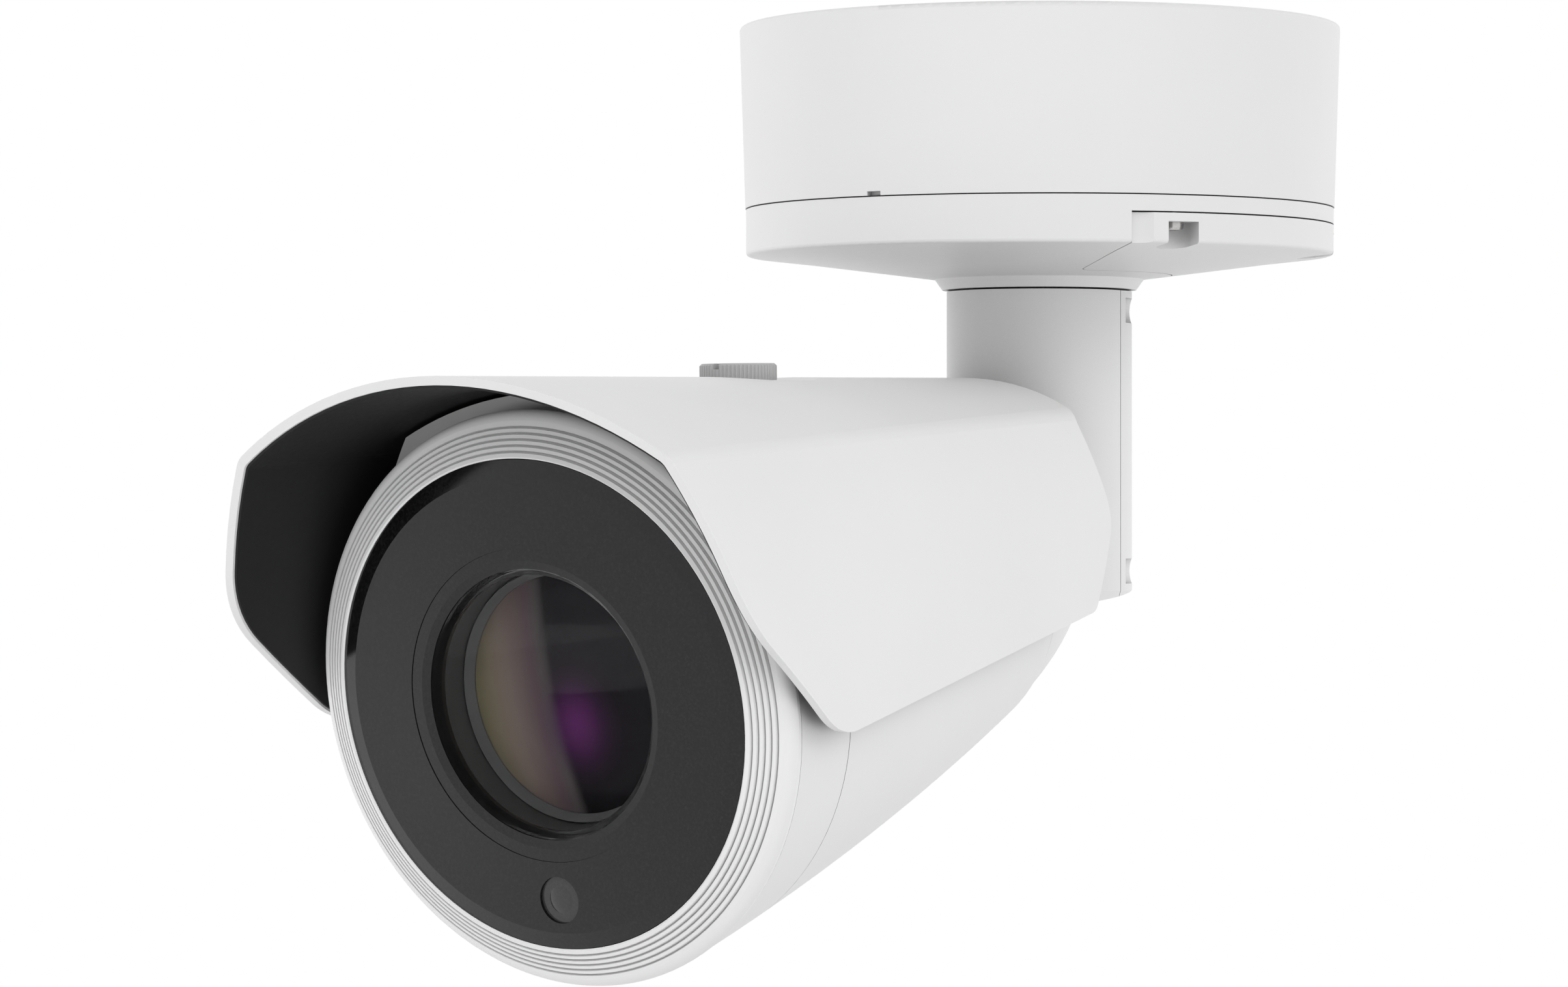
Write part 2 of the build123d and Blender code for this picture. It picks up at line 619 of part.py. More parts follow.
def hatch_screws():
    roof_z = Z_SEAM - HATCH_TOP - HATCH_GAP - POCKET_ROOF
    screws = []
    for side in (-1, 1):
        x, y = polar(HATCH_SCREW_R, side * HATCH_SCREW_ANGLE)
        screws.append(Pos(x, y, roof_z) * Rot(X=180) * pan_screw(2.6, 2.1, 1.15, SMALL_SCREW_LEN))
    return Compound(children=screws)


def cover_screws():
    screws = []
    for side in (-1, 1):
        x, y = polar(COVER_SCREW_R, side * COVER_SCREW_ANGLE)
        screws.append(Pos(x, y, Z_SEAM - STRAP_T) * Rot(X=180) * pan_screw(3.6, 2.6, 1.55, COVER_SCREW_LEN))
    return Compound(children=screws)


def pan_bush():
    bore = SPINDLE_R + RUN_FIT
    bush = post(bore + BUSH_T, Z_HUB, Z_BOSS, bore=bore)
    bush += post(RETAINER_R, Z_BOSS, Z_BOSS + BUSH_FLANGE, bore=bore)
    return bush - lock_hole(LOCK_SCREW_R + RUN_FIT, SPINDLE_R - 1, HUB_BOSS_R)


def pan_lock_screw():
    end = HUB_BOSS_R + 1.5
    socket = Pos(end, 0, Z_HUB + LOCK_SCREW_UP) * Rot(Y=90) * extrude(RegularPolygon(1.15, 6), 2.5, both=True)
    return lock_hole(LOCK_SCREW_R, SPINDLE_R + PART_LINE, end) - socket


# ---- arm pieces ----------------------------------------------------------------------
def pan_spindle():
    seat = Z_ARM - ARM_LID_T
    low = seat - SPINDLE_FLANGE_T
    spindle = post(SPINDLE_R, low, BUSH_TOP + RETAINER_T + SPINDLE_TIP, bore=SPINDLE_BORE_R)
    flange = post(SPINDLE_FLANGE_R, low, seat, bore=SPINDLE_BORE_R)
    spindle += flange & block(-SPINDLE_FLANGE_HALF_W, SPINDLE_FLANGE_HALF_W, -FAR, FAR, low - 1, seat + 1)
    for x, y in SPINDLE_SCREW_SPOTS:
        spindle -= post(1.6, low - 1, seat + 1, x, y)
    return spindle


def spindle_screws():
    seat = Z_ARM - ARM_LID_T - SPINDLE_FLANGE_T
    return Compound(children=[Pos(x, y, seat) * Rot(X=180) * pan_screw(2.4, 1.8, 1.25, SMALL_SCREW_LEN)
                              for x, y in SPINDLE_SCREW_SPOTS])


def pan_retainer():
    z = BUSH_TOP + THRUST_GAP
    ring = post(RETAINER_R, z, z + RETAINER_T, bore=SPINDLE_R)
    for i in range(4):
        x, y = polar(RETAINER_R, 45 + 90 * i)
        ring -= Pos(x, y, z + RETAINER_T / 2) * Rot(Z=45 + 90 * i) * Box(4, 3, RETAINER_T + 1)
    return ring


def arm_outside():
    """Whole outer form of the arm, with its chin cut on a slope and rounded about the tilt axis."""
    form = post(ARM_R, Z_ARM_LOW, Z_ARM)
    form += Pos(0, 0, Z_ARM_LOW - CHIN_H / 2) * Cone(ARM_R - CHIN_H * 0.3, ARM_R, CHIN_H)
    slope = tan(radians(CHIN_SLOPE))
    back_y, front_y, deep = CHIN_BACK_Y, -ARM_R - 5, Z_ARM_LOW - ARM_R
    under = Polyline((FAR, Z_ARM_LOW), (back_y, Z_ARM_LOW), (front_y, Z_ARM_LOW - (back_y - front_y) * slope),
                     (front_y, deep), (FAR, deep), close=True)
    form -= extrude(Plane.YZ * make_face(under), 2 * ARM_R, both=True)
    wide = 2 * ARM_R
    above = block(-wide, wide, -wide, wide, PIVOT_Z, Z_ARM + 1)
    behind = block(-wide, wide, 0, wide, deep, PIVOT_Z)
    return form & (above + cross(CHIN_ROUND_R, -wide, wide, 0, PIVOT_Z) + behind)


def arm_hollow():
    return post(ARM_IN_R, Z_ARM_LOW + ARM_WALL, Z_ARM - ARM_LID_T)


def arm_screw_spots():
    levels = (Z_ARM - ARM_SCREW_INSET, Z_ARM_LOW + ARM_SCREW_INSET)
    return [(sx * ARM_SCREW_X, z) for sx in (-1, 1) for z in levels]


def neck_slot():
    """Room for the neck from level to straight down."""
    side = MOVE_GAP + PART_LINE
    w = NECK_R + side
    low = Z_ARM_LOW - ARM_R
    slot = block(-w, w, -ARM_R - 5, 0, low, PIVOT_Z + NECK_R + MOVE_GAP)
    return slot + block(-w, w, -1, KNUCKLE_R + side, low, Z_ARM_LOW + ARM_WALL + 1)


def arm_half(y0, y1):
    """Everything of the arm between two depths."""
    return block(-2 * ARM_R, 2 * ARM_R, y0, y1, Z_ARM_LOW - ARM_R, Z_ARM + 1)


def arm_boss(x, z, y0, y1):
    return disc(ARM_BOSS_R, y0, y1, x, z)


def arm_housing():
    body = arm_outside() - arm_hollow()
    front = arm_half(-2 * ARM_R, ARM_SPLIT_Y)
    lid = post(ARM_IN_R - PART_LINE, Z_ARM - ARM_LID_T, Z_ARM)
    for x, z in arm_screw_spots():
        lid -= disc(ARM_BOSS_R + PART_LINE, ARM_SPLIT_Y, 2 * ARM_R, x, z)
    body = (body & front) + lid
    outside = arm_outside()
    for x, z in arm_screw_spots():
        body += arm_boss(x, z, ARM_SPLIT_Y - ARM_BOSS_LEN, ARM_SPLIT_Y) & outside
    for side in (-1, 1):
        x0, x1 = sorted((side * CHEEK_IN, side * CHEEK_OUT))
        cheek = cross(CHEEK_R, x0, x1, 0, PIVOT_Z)
        cheek += block(x0, x1, -ARM_R, 0, PIVOT_Z - CHEEK_R, PIVOT_Z + CHEEK_R)
        body += cheek & (post(ARM_IN_R - PART_LINE, Z_ARM_LOW, Z_ARM) + (front & outside))
    body -= neck_slot()
    body -= cross(BOLT_R, -CHEEK_OUT - 0.5, CHEEK_OUT + 0.5, 0, PIVOT_Z)
    for x, z in arm_screw_spots():
        body -= disc(1.25, ARM_SPLIT_Y - ARM_BOSS_LEN + 2, ARM_SPLIT_Y + 1, x, z)
    seat = Z_ARM - ARM_LID_T
    for x, y in SPINDLE_SCREW_SPOTS:
        body -= post(1.25, seat - 1, Z_ARM - 1.2, x, y)
    return body - post(SPINDLE_R, seat - 1, Z_ARM + 1)


def arm_cover():
    body = arm_outside() - arm_hollow() - post(ARM_IN_R, Z_ARM - ARM_LID_T - 1, Z_ARM + 1)
    body &= arm_half(ARM_SPLIT_Y + PART_LINE, 2 * ARM_R)
    outside = arm_outside()
    for x, z in arm_screw_spots():
        body += arm_boss(x, z, ARM_SPLIT_Y + PART_LINE, ARM_R) & outside
    for x, z in arm_screw_spots():
        floor = ARM_SPLIT_Y + PART_LINE + ARM_POCKET_FLOOR
        x0, x1 = sorted((x, x + (ARM_SCREW_IN + 2 if x > 0 else -ARM_SCREW_IN - 2)))
        body -= disc(ARM_POCKET_R, floor, 2 * ARM_R, x, z)
        body -= block(x0, x1, floor, 2 * ARM_R, z - ARM_POCKET_R, z + ARM_POCKET_R)
        body -= disc(1.6, 0, floor + 1, x, z)
    return body - neck_slot()


def arm_screws():
    floor = ARM_SPLIT_Y + PART_LINE + ARM_POCKET_FLOOR
    return Compound(children=[Pos(x, floor, z) * Rot(X=-90) * pan_screw(2.7, 2.0, 1.25, ARM_SCREW_LEN)
                              for x, z in arm_screw_spots()])


def tilt_bolt():
    bolt = cross(BOLT_R, -CHEEK_OUT - NUT_T - 1, CHEEK_OUT, 0, PIVOT_Z)
    head = cross(BOLT_HEAD_R, CHEEK_OUT, CHEEK_OUT + BOLT_HEAD_T, 0, PIVOT_Z)
    socket = Rot(Y=90) * extrude(RegularPolygon(3.2, 6), 2 * BOLT_SOCKET_D)
    return bolt + head - Pos(CHEEK_OUT + BOLT_HEAD_T - BOLT_SOCKET_D, 0, PIVOT_Z) * socket


def tilt_nut():
    nut = Pos(-CHEEK_OUT - NUT_T, 0, PIVOT_Z) * Rot(Y=90) * extrude(RegularPolygon(NUT_R, 6), NUT_T)
    return nut - cross(BOLT_R, -CHEEK_OUT - NUT_T - 2, -CHEEK_OUT + 2, 0, PIVOT_Z)


def friction_washers():
    rings = []
    for side in (-1, 1):
        x0, x1 = sorted((side * (CHEEK_IN - WASHER_T), side * CHEEK_IN))
        rings.append(cross(WASHER_R, x0, x1, 0, PIVOT_Z, bore=BOLT_R))
    return Compound(children=rings)


# ---- neck pieces (camera frame) ------------------------------------------------------
def tilt_knuckle():
    flange = NECK_FLANGE_AT
    hub = HOUSING_END - ROLL_HUB_LEN
    neck = disc(ROLL_HUB_R, hub, flange + NECK_FLANGE_T)
    neck += disc(NECK_FLANGE_R, flange, flange + NECK_FLANGE_T)
    neck += disc(NECK_R, flange, FACE_TO_PIVOT)
    neck += cross(KNUCKLE_R, -KNUCKLE_W / 2, KNUCKLE_W / 2, FACE_TO_PIVOT, 0)
    port = FACE_TO_PIVOT - KNUCKLE_R - NECK_BORE_R
    neck -= disc(ROLL_BORE_R, hub - 1, flange + NECK_FLANGE_T + 2)
    neck -= disc(NECK_BORE_R, flange, port)
    neck -= post(NECK_BORE_R - 0.5, 0, NECK_R + 2, 0, port - NECK_BORE_R)
    for x, v in COLLAR_SCREW_SPOTS:
        neck -= disc(1.25, flange - 1, flange + NECK_FLANGE_T + 1, x, v)
    return neck - cross(BOLT_R + RUN_FIT, -KNUCKLE_W, KNUCKLE_W, FACE_TO_PIVOT, 0)


def collar_form(shrink, s0, s1):
    run = COLLAR_END - COLLAR_START
    mid = ((COLLAR_START_R + COLLAR_END_R) / 2 + COLLAR_BULGE - shrink, COLLAR_START + run / 2)
    side = ThreePointArc((COLLAR_START_R - shrink, COLLAR_START), mid, (COLLAR_END_R - shrink, COLLAR_END))
    line = Polyline((COLLAR_END_R - shrink, COLLAR_END), (0, COLLAR_END), (0, COLLAR_START),
                    (COLLAR_START_R - shrink, COLLAR_START))
    return revolve(make_face(side + line), Axis.Y) & disc(FAR, s0, s1)


def tail_collar():
    form = collar_form(0, COLLAR_START, COLLAR_END)
    form = fillet(form.edges().group_by(Axis.Y)[-1], COLLAR_ROUND)
    form = fillet(form.edges().group_by(Axis.Y)[0], 0.8)
    flange_end = NECK_FLANGE_AT + NECK_FLANGE_T
    form -= collar_form(COLLAR_WALL, flange_end, COLLAR_END - COLLAR_WALL)
    form -= disc(NECK_FLANGE_R, NECK_FLANGE_AT, flange_end)
    form -= disc(ROLL_HUB_R, COLLAR_START - 1, NECK_FLANGE_AT + 1)
    for x, v in COLLAR_SCREW_SPOTS:
        form += disc(3.6, flange_end, COLLAR_END - 1, x, v)
        form -= disc(2.6, COLLAR_END - COLLAR_SCREW_SINK, COLLAR_END + 1, x, v)
        form -= disc(1.5, flange_end - 1, COLLAR_END, x, v)
    return form - disc(NECK_R, COLLAR_END - COLLAR_WALL - COLLAR_ROUND, COLLAR_END + 1)


def collar_screws():
    seat = COLLAR_END - COLLAR_SCREW_SINK
    screw = Rot(X=-90) * pan_screw(2.3, 1.8, 1.25, seat - NECK_FLANGE_AT - 1.5)
    return Compound(children=[Pos(x, seat, v) * screw for x, v in COLLAR_SCREW_SPOTS])


def roll_retainer():
    s1 = HOUSING_END - HOUSING_END_WALL - BUSH_FLANGE - THRUST_GAP
    ring = disc(ROLL_RING_R, s1 - ROLL_RING_T, s1, bore=ROLL_HUB_R)
    for i in range(4):
        x, v = polar(ROLL_RING_R, 45 + 90 * i)
        ring -= Pos(x, s1 - ROLL_RING_T / 2, v) * Rot(Y=-45 - 90 * i) * Box(4, ROLL_RING_T + 1, 3)
    return ring


# ---- camera housing (camera frame) ---------------------------------------------------
def housing_form(shrink=0.0):
    """Body of revolution inside the housing skin, grown inwards by shrink."""
    run = HOUSING_END - HOUSING_START
    a = (HOUSING_R - shrink, HOUSING_START)
    b = (HOUSING_TAIL_R - shrink, HOUSING_END)
    mid = ((HOUSING_R + HOUSING_TAIL_R) / 2 + HOUSING_BULGE - shrink, HOUSING_START + run / 2)
    edge = ThreePointArc(a, mid, b) + Polyline(b, (0, HOUSING_END), (0, HOUSING_START), a)
    return revolve(make_face(edge), Axis.Y)


def rear_housing():
    body = housing_form()
    body = fillet(body.edges().group_by(Axis.Y)[-1], HOUSING_TAIL_ROUND)
    body &= disc(FAR, HOUSING_SEAM + PART_LINE / 2, HOUSING_END)
    body -= housing_form(HOUSING_WALL) & disc(FAR, 0, HOUSING_END - HOUSING_END_WALL)
    body -= disc(ROLL_HUB_R + RUN_FIT + ROLL_BUSH_T, HOUSING_END - 2 * HOUSING_END_WALL, HOUSING_END + 1)
    solid = housing_form(HOUSING_WALL - 0.5)
    for x, v in HOUSING_SCREW_SPOTS:
        body += disc(HOUSING_BOSS_R, HOUSING_SEAM + 1.5, HOUSING_SEAM + 20, x, v) & solid
        body -= disc(1.6, HOUSING_SEAM, HOUSING_SEAM + 15, x, v)
    for side in (-1, 1):
        x0, x1 = sorted((side * (BOARD_R + PART_LINE), side * (BOARD_R + HOUSING_BOSS_R + BOARD_EDGE_GAP)))
        body += block(x0, x1, BOARD_AT, BOARD_AT + 6, -3, 3) & solid
    body += RIDGE * Pos(0, 0, STUD_BOSS_AT - STUD_BOSS_H / 2) * Cylinder(STUD_BOSS_R, STUD_BOSS_H) & solid
    body -= RIDGE * Pos(0, 0, STUD_BOSS_AT) * Cylinder(STUD_R + RUN_FIT, 2 * STUD_BOSS_H - STUD_BOSS_R - 0.5)
    for x, s, v in saddle_screw_spots():
        body += post(4.0, v - 9, v + 3, x, s) & housing_form(1.0)
        body -= post(1.25, v - 7, v + 8, x, s)
    return body


def roll_bush():
    wall = HOUSING_END - HOUSING_END_WALL
    bore = ROLL_HUB_R + RUN_FIT
    bush = disc(bore + ROLL_BUSH_T, wall, HOUSING_END, bore=bore)
    return bush + disc(ROLL_RING_R, wall - BUSH_FLANGE, wall, bore=bore)


def housing_seal():
    inner = SEAL_RING_R - SEAL_RING_W
    return disc(SEAL_RING_R, HOUSING_SEAM - SEAL_RING_W, HOUSING_SEAM + PART_LINE / 2, bore=inner)


def front_housing():
    s0, s1 = BEZEL_LEN, HOUSING_SEAM - PART_LINE / 2
    body = housing_form() & disc(FAR, s0, s1)
    body -= housing_form(HOUSING_WALL) & disc(FAR, s0 + 2 * HOUSING_WALL, s1 + 1)
    body -= disc(BEZEL_SEAT_R, s0 - 1, s0 + 2 * HOUSING_WALL + 1)
    solid = housing_form(HOUSING_WALL - 0.5)
    for x, v in HOUSING_SCREW_SPOTS:
        body += disc(HOUSING_BOSS_R, s0, s1, x, v) & solid
        body -= disc(1.9, s0 - 1, s1 + 1, x, v)
        body -= disc(3.4, s0 - 1, s0 + 4, x, v)
    return body - disc(SEAL_RING_R, HOUSING_SEAM - SEAL_RING_W, s1 + 1, bore=SEAL_RING_R - SEAL_RING_W)


def housing_screws():
    seat = BEZEL_LEN + 4
    length = HOUSING_SEAM - seat + HOUSING_SCREW_BITE
    return Compound(children=[Pos(x, seat, v) * Rot(X=90) * pan_screw(3.1, 2.2, 1.55, length)
                              for x, v in HOUSING_SCREW_SPOTS])


def front_bezel():
    lip = BEZEL_LIP
    edge = BEZEL_IN_R + 0.4
    top_r = BEZEL_OUT_R - 2.2
    top_s = lip + (top_r - edge) * BEZEL_SLOPE
    back = BEZEL_LEN - PART_LINE
    shoulder = ThreePointArc((top_r, top_s), (BEZEL_OUT_R - 0.62, top_s + 1.45), (BEZEL_OUT_R, top_s + 3.0))
    rest = Polyline((BEZEL_OUT_R, top_s + 3.0), (HOUSING_R, back), (BEZEL_SEAT_R, back),
                    (BEZEL_SEAT_R, FACE_T), (BEZEL_IN_R, FACE_T), (BEZEL_IN_R, lip + 0.3),
                    (edge, lip), (top_r, top_s))
    ring = revolve(make_face(shoulder + rest), Axis.Y)
    half = GROOVE_W / 2
    for i in range(GROOVES):
        r = BEZEL_IN_R + GROOVE_FIRST + GROOVE_PITCH * i
        s = lip + (r - edge) * BEZEL_SLOPE
        rise = half * BEZEL_SLOPE
        ring -= spin([(r - GROOVE_W, s - 1.0), (r - half, s - rise), (r, s + GROOVE_DEPTH),
                      (r + half, s + rise), (r + half, s - 1.0)])
    return ring


# ---- front window (camera frame) -----------------------------------------------------
def front_cover():
    ring_s = LENS_RING_STEP - FACE_PROUD
    ledge_r = LENS_HOLE_R - WINDOW_LEDGE
    ledge_s = WINDOW_DEPTH + WINDOW_T
    outline = [(LENS_RING_R, ring_s), (LENS_RING_R, -FACE_PROUD), (FACE_R - FACE_BEVEL_W, -FACE_PROUD),
               (FACE_R, FACE_BEVEL_H - FACE_PROUD), (FACE_R, FACE_T), (ledge_r, FACE_T), (ledge_r, ledge_s),
               (LENS_HOLE_R, ledge_s), (LENS_HOLE_R, WINDOW_DEPTH - WINDOW_EDGE), (LENS_CONE_R, ring_s)]
    plate = spin(outline)
    return plate - disc(EYE_R, -2, FACE_T + 1, 0, -EYE_DROP)


def lens_window():
    r = LENS_HOLE_R - RUN_FIT
    window = disc(r, WINDOW_DEPTH, WINDOW_DEPTH + WINDOW_T)
    return chamfer(window.edges().group_by(Axis.Y)[0], WINDOW_EDGE)


def eye_window():
    stem = disc(EYE_R - RUN_FIT, FACE_BEVEL_H - FACE_PROUD, FACE_T, 0, -EYE_DROP)
    bulge = Pos(0, EYE_BULGE_R - 0.2, -EYE_DROP) * Sphere(EYE_BULGE_R)
    return stem + (bulge & disc(EYE_R - 1.2, -2, 1.5, 0, -EYE_DROP))


def led_board():
    plate = disc(LED_BOARD_R, LED_BOARD_AT, SPREADER_AT, bore=SHROUD_R + 3)
    for x, v in HOUSING_SCREW_SPOTS:
        plate -= disc(SCREW_CLEAR_R, LED_BOARD_AT - 1, SPREADER_AT + 1, x, v)
    light_sensor = disc(EYE_R / 2 - PART_LINE, FACE_T + 0.6, LED_BOARD_AT, 0, -EYE_DROP)
    return plate + fillet(light_sensor.edges().group_by(Axis.Y)[0], 1.1)


def infrared_leds():
    lamps = []
    for angle in LED_ANGLES:
        x, v = polar(LED_RING_R, angle)
        lamp = disc(LED_R, LED_BOARD_AT - LED_H, LED_BOARD_AT, x, v)
        lamp = chamfer(lamp.edges().group_by(Axis.Y)[-1], LED_TIP)
        lamps.append(lamp)
    return Compound(children=lamps)


def led_heat_spreader():
    plate = disc(LED_BOARD_R, SPREADER_AT, SPREADER_AT + SPREADER_T, bore=LENS_RIM_R + 0.7)
    for x, v in HOUSING_SCREW_SPOTS:
        plate -= disc(SCREW_CLEAR_R, SPREADER_AT - 1, SPREADER_AT + SPREADER_T + 1, x, v)
    return plate


def lens_shroud():
    s0 = FACE_T + 0.1
    back = SPREADER_AT - 0.2
    inner = LENS_HOLE_R - WINDOW_LEDGE
    flange_r = SHROUD_R + SHROUD_FLANGE_W
    lens_r = LENS_RIM_R + 0.5
    front = LENS_FRONT - 0.4
    step = s0 + SHROUD_FLANGE_T
    return spin([(inner, s0), (flange_r, s0), (flange_r, step), (SHROUD_R, step),
                 (SHROUD_R, back), (lens_r, back), (lens_r, front), (inner, front)])


# ---- lens (camera frame) -------------------------------------------------------------
def lens_barrel():
    return spin([(LENS_GLASS_R, LENS_FRONT + LENS_RIM_BEVEL), (LENS_RIM_R - 0.15, LENS_FRONT),
                 (LENS_RIM_R, LENS_FRONT + 0.15), (LENS_RIM_R, LENS_HEAD_END), (BARREL_R, LENS_HEAD_END),
                 (BARREL_R, BARREL_END), (BARREL_BORE_R, BARREL_END), (BARREL_BORE_R, LENS_HEAD_END + 1),
                 (LENS_GLASS_R, LENS_HEAD_END + 1)])


def dome(r, s_edge, sag, back):
    """Lens element bulging forward from its edge station by sag."""
    big = (r * r + sag * sag) / (2 * sag)
    return (Pos(0, s_edge - sag + big, 0) * Sphere(big)) & disc(r, s_edge - sag - 1, back)


def front_element():
    edge = LENS_FRONT + LENS_RIM_BEVEL + PART_LINE
    return dome(LENS_GLASS_R - RUN_FIT, edge, LENS_SAG, LENS_HEAD_END - MOVE_GAP)


def rear_element():
    return dome(REAR_GLASS_R, BARREL_END + 0.8, 1.0, END_PLATE_AT)


def barrel_end_plate():
    s0, s1 = BARREL_END, END_PLATE_AT
    plate = disc(BARREL_R + END_PLATE_W, s0, s1, bore=REAR_GLASS_R)
    for side in (-1, 1):
        plate -= disc(ROD_R, s0 - 1, s1 + 1, side * ROD_OFFSET, 0)
        plate -= disc(ROD_R + RUN_FIT, s0 - 1, s1 + 1, 0, side * ROD_OFFSET)
    half_x, half_v = 20.0, 9.5
    frame = block(-half_x, half_x, s1, s1 + 4.4, -half_v, half_v)
    frame -= block(1.5 - half_x, half_x - 1.5, s1 + 0.9, s1 + 3.5, 1.9 - half_v, half_v - 1.9)
    return plate + (frame - disc(6.5, s1 - 1, s1 + 6))


def guide_rods():
    rods = [disc(ROD_R, LENS_HEAD_END + 2, END_PLATE_AT, side * ROD_OFFSET, 0) for side in (-1, 1)]
    return Compound(children=rods)


def lens_group(station, thick, screw_side):
    """Carrier ring with its glass, riding on both rods and driven by one lead screw."""
    carrier = disc(GROUP_R, station, station + thick, bore=GROUP_R - GROUP_WALL)
    mid = station + thick / 2
    reach = BARREL_BORE_R - 1.0
    bars = block(-reach, reach, mid - 2, mid + 2, -2.6, 2.6)
    v0, v1 = sorted((0, screw_side * (reach - 0.2)))
    ear = block(-2.8, 2.8, mid - 2, mid + 2, v0, v1)
    carrier += (bars + ear) - disc(GROUP_R - 1, mid - FAR / 2, mid + FAR / 2)
    for side in (-1, 1):
        carrier -= disc(ROD_R + RUN_FIT, mid - 3, mid + 3, side * ROD_OFFSET, 0)
    return carrier - disc(ROD_R + RUN_FIT, mid - 3, mid + 3, 0, screw_side * ROD_OFFSET)


def zoom_carrier():
    return lens_group(ZOOM_STATION, ZOOM_T, 1)


def focus_carrier():
    return lens_group(FOCUS_STATION, FOCUS_T, -1)


def group_glass(station, thick):
    return dome(GROUP_R - GROUP_WALL, station + 2.5, 1.8, station + thick - 1)


def lead_screw(side):
    """Screw that runs from the head of the barrel into its motor."""
    return disc(ROD_R, LENS_HEAD_END + 4, END_PLATE_AT + 2.8, 0, side * ROD_OFFSET)


def lens_motors():
    s0 = END_PLATE_AT
    motors = []
    for side in (-1, 1):
        v = side * ROD_OFFSET
        can = disc(MOTOR_R, s0, s0 + MOTOR_LEN, 0, v)
        can = fillet(can.edges().group_by(Axis.Y)[-1], 0.8)
        tabs = block(-1.5, 1.5, s0, s0 + 1.2, v - 7 - side * 0.5, v + 7 - side * 0.5)
        motors.append(can + tabs - disc(ROD_R + RUN_FIT, s0 - 1, s0 + 3, 0, v))
    return Compound(children=motors)


def filter_slide():
    s0, s1 = END_PLATE_AT + 1.2, END_PLATE_AT + 1.2 + FILTER_T
    plate = block(-FILTER_SIDE - FILTER_TRAVEL, FILTER_SIDE, s0, s1, -FILTER_HALF_H, FILTER_HALF_H)
    for x in (-FILTER_TRAVEL, 0):
        plate -= disc(FILTER_SIDE - 1, s0 - 1, s0 + 0.5, x, 0)
        plate -= disc(FILTER_SIDE - 1, s1 - 0.5, s1 + 1, x, 0)
    return plate


def sensor_board():
    half = ROD_OFFSET - MOTOR_R - 1.6
    board = block(-half - 1, half + 1, SENSOR_AT, SENSOR_AT + SENSOR_BOARD_T, -half, half)
    board += block(-6.5, 6.5, SENSOR_AT - 1.1, SENSOR_AT, -5, 5)
    return board - block(-5, 5, SENSOR_AT - 2, SENSOR_AT - 0.8, -3.6, 3.6)


def chassis():
    """Ring that holds the lens to the front housing, with two rails back to the boards."""
    s0, s1 = CHASSIS_AT, CHASSIS_AT + CHASSIS_RING_T
    ring = disc(housing_radius(s1) - HOUSING_WALL - 2 * PART_LINE, s0, s1, bore=LENS_RIM_R)
    for x, v in HOUSING_SCREW_SPOTS:
        ring -= disc(SCREW_CLEAR_R, s0 - 1, s1 + 1, x, v)
    for side in (-1, 1):
        x0, x1 = sorted((side * RAIL_X, side * (RAIL_X + RAIL_T)))
        ring += block(x0, x1, s0, BOARD_AT, -RAIL_HALF_H, RAIL_HALF_H)
        x0, x1 = sorted((side * (BARREL_R + 1.5), side * (RAIL_X + RAIL_T)))
        ring += block(x0, x1, END_PLATE_AT, END_PLATE_AT + 2.2, -RAIL_HALF_H, RAIL_HALF_H)
    return ring


def main_board():
    back = BOARD_AT + MAIN_BOARD_T
    board = disc(BOARD_R, BOARD_AT, back) & block(-FAR, FAR, 0, FAR, -BOARD_HALF_H, BOARD_HALF_H)
    return board + block(-11, 11, back, back + CHIP_T, -11, 11)


def board_heat_sink():
    s0 = BOARD_AT + MAIN_BOARD_T + CHIP_T
    s1 = s0 + SINK_BASE_T
    sink = block(-SINK_HALF, SINK_HALF, s0, s1, -SINK_HALF, SINK_HALF)
    for i in range(FINS):
        x = -SINK_HALF + 0.8 + (2 * SINK_HALF - 1.6 - FIN_T) / (FINS - 1) * i
        sink += block(x, x + FIN_T, s1, s1 + FIN_H, -SINK_HALF, SINK_HALF)
    return sink


# ---- sunshield (camera frame) --------------------------------------------------------
def taper_cone(x, v, r_at_face):
    """Cone about a line parallel to the camera axis, shrinking backwards by TAPER."""
    s0, s1 = HOOD_FROM - HOOD_SPARE, HOOD_TO + HOOD_SPARE
    r0, r1 = r_at_face - TAPER * s0, r_at_face - TAPER * s1
    return Pos(x, (s0 + s1) / 2, v) * Rot(X=90) * Cone(r1, r0, s1 - s0)


def hood_form(shrink, side_shrink=None, shoulder=0.0):
    """Tapered crown between two tapered flanks. An inner form is smaller, and longer than what it hollows."""
    side_shrink = shrink if side_shrink is None else side_shrink
    past = shrink / 2
    lean = sqrt(1 + TAPER ** 2)
    form = taper_cone(0, -CROWN_DROP, CROWN_R - shrink * lean)
    for side in (-1, 1):
        form &= taper_cone(-side * FLANK_SHIFT, FLANK_RISE, FLANK_R - side_shrink * lean)
    form &= block(-FLANK_R, FLANK_R, HOOD_FROM - past, HOOD_TO + past, LOW_V - HOOD_SPARE - past, FLANK_R)
    if shoulder:
        half_run = (HOOD_TO - HOOD_FROM) / 2
        ridges = form.edges().filter_by(lambda e: e.length > half_run and e.center().Z > SHOULDER_OUT)
        form = fillet(ridges, shoulder)
    return form


